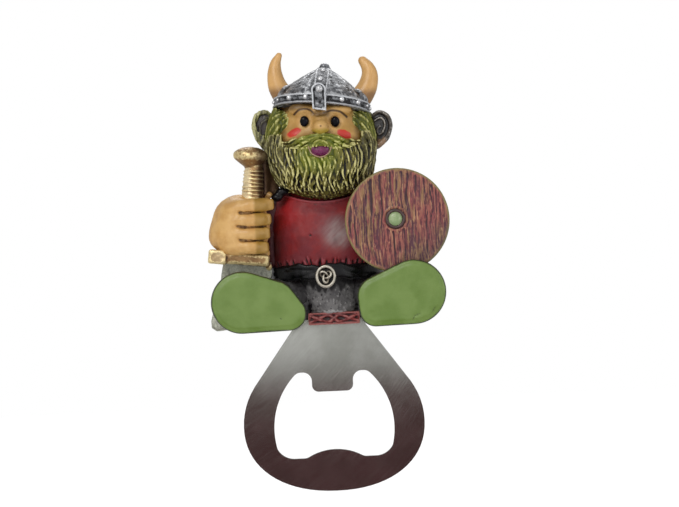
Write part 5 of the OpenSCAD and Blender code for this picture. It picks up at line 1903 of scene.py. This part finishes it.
def card(name, centre, half, glow, tint=(1, 1, 1)):
    """Flat card facing the object that shows only in its reflections."""
    cx, cy, cz = centre
    mesh = bpy.data.meshes.new(name)
    mesh.from_pydata(
        [(cx - half[0], cy, cz - half[1]), (cx + half[0], cy, cz - half[1]),
         (cx + half[0], cy, cz + half[1]), (cx - half[0], cy, cz + half[1])], [], [(0, 1, 2, 3)])
    obj = bpy.data.objects.new(name, mesh)
    bpy.context.scene.collection.objects.link(obj)
    mesh.materials.append(studio_paint(name, (0.0, 0.0, 0.0), glow, tint))
    obj.visible_camera = False
    obj.visible_diffuse = False
    obj.visible_shadow = False


def area_light(name, place, aim, size, power, colour=(1, 1, 1)):
    light = bpy.data.lights.new(name, "AREA")
    light.shape = "RECTANGLE"
    light.size, light.size_y = size
    light.energy = power
    light.color = colour
    lamp = bpy.data.objects.new(name, light)
    bpy.context.scene.collection.objects.link(lamp)
    lamp.location = place
    lamp.rotation_euler = (Vector(aim) - Vector(place)).to_track_quat("-Z", "Y").to_euler()
    return lamp


def build_floor(level):
    """Disc under the object that looks the same white as the background."""
    ring = [(0.6 * math.cos(t), 0.6 * math.sin(t), level) for t in np.radians(np.arange(0, 360, 5))]
    mesh = bpy.data.meshes.new("floor")
    mesh.from_pydata(ring, [], [tuple(range(len(ring)))])
    floor = bpy.data.objects.new("floor", mesh)
    bpy.context.scene.collection.objects.link(floor)
    mesh.materials.append(studio_paint("floor", (0.12, 0.12, 0.12), 0.93))
    floor.visible_glossy = False


def build_world():
    """White for the camera, brighter in reflections than in the light it casts."""
    world = bpy.data.worlds.new("studio")
    bpy.context.scene.world = world
    world.use_nodes = True
    tree = world.node_tree
    background = tree.nodes["Background"]
    rays = tree.nodes.new("ShaderNodeLightPath")
    level = tree.nodes.new("ShaderNodeMapRange")
    tree.links.new(rays.outputs["Is Glossy Ray"], level.inputs["Value"])
    level.inputs["To Min"].default_value = 0.26
    level.inputs["To Max"].default_value = 0.5
    seen = tree.nodes.new("ShaderNodeMapRange")
    tree.links.new(rays.outputs["Is Camera Ray"], seen.inputs["Value"])
    tree.links.new(level.outputs["Result"], seen.inputs["To Min"])
    seen.inputs["To Max"].default_value = 1.0
    background.inputs["Color"].default_value = (1, 1, 1, 1)
    tree.links.new(seen.outputs["Result"], background.inputs["Strength"])


def build_camera(centre):
    """Camera in front of the object, rolled a little as in the photo."""
    scene = bpy.context.scene
    data = bpy.data.cameras.new("camera")
    camera = bpy.data.objects.new("camera", data)
    scene.collection.objects.link(camera)
    distance, seen_width, roll = 1.0, 0.174, -2.5
    data.sensor_width = 36
    data.lens = 36 * distance / seen_width
    data.clip_start, data.clip_end = 0.05, 10
    data.dof.use_dof = False
    camera.location = (centre[0] + 0.0027, centre[1] - distance, centre[2] + 0.0045)
    turn = Matrix.Rotation(math.radians(90), 4, "X") @ Matrix.Rotation(math.radians(roll), 4, "Z")
    camera.rotation_euler = turn.to_euler()
    scene.camera = camera
    scene.view_settings.view_transform = "Standard"


def build_studio():
    low, high = (np.array(v) for v in cad_box)
    centre = (low + high) / 2
    build_floor(low[2] - 0.0002)
    card("card_high", (centre[0], -0.20, centre[2] + 0.075), (0.16, 0.095), 0.76)
    card("card_left", (-0.036, -0.078, -0.018), (0.034, 0.013), 0.82)
    card("card_low", (centre[0], -0.08, -0.138), (0.20, 0.1), 0.075, (1.0, 0.28, 0.34))
    area_light("key", (-0.35, -0.75, 0.55), centre, (0.5, 0.5), 4.6, (1.0, 0.985, 0.96))
    area_light("fill", (0.7, -0.6, 0.15), centre, (0.5, 0.5), 1.3)
    area_light("rim", (0.1, 0.6, 0.6), centre, (0.6, 0.4), 2.0)
    build_world()
    build_camera(centre)


sculpt_tunic()
sculpt_sleeves()
sculpt_belt()
sculpt_buckle()
sculpt_clasp()
sculpt_skirt()
sculpt_legs()
sculpt_hem()
for side, seed in (("right", 61), ("left", 62)):
    sculpt_sole(side, seed)
    sculpt_boot(side)
sculpt_fist()
sculpt_left_hand()
sculpt_pommel()
sculpt_grip()
sculpt_guard()
sculpt_blade()
sculpt_shield_board()
sculpt_boss()
sculpt_head()
sculpt_nose()
sculpt_eyes()
sculpt_beard()
sculpt_mouth()
sculpt_moustache()
sculpt_hair("hair_right", -1)
sculpt_hair("hair_left", 1)
sculpt_right_ear()
sculpt_left_ear()
sculpt_dome()
sculpt_ridge()
sculpt_band()
sculpt_nose_guard()
sculpt_rivets()
sculpt_finial()
sculpt_horn("horn_right")
sculpt_horn("horn_left")
dress_cad_nodes()
build_studio()
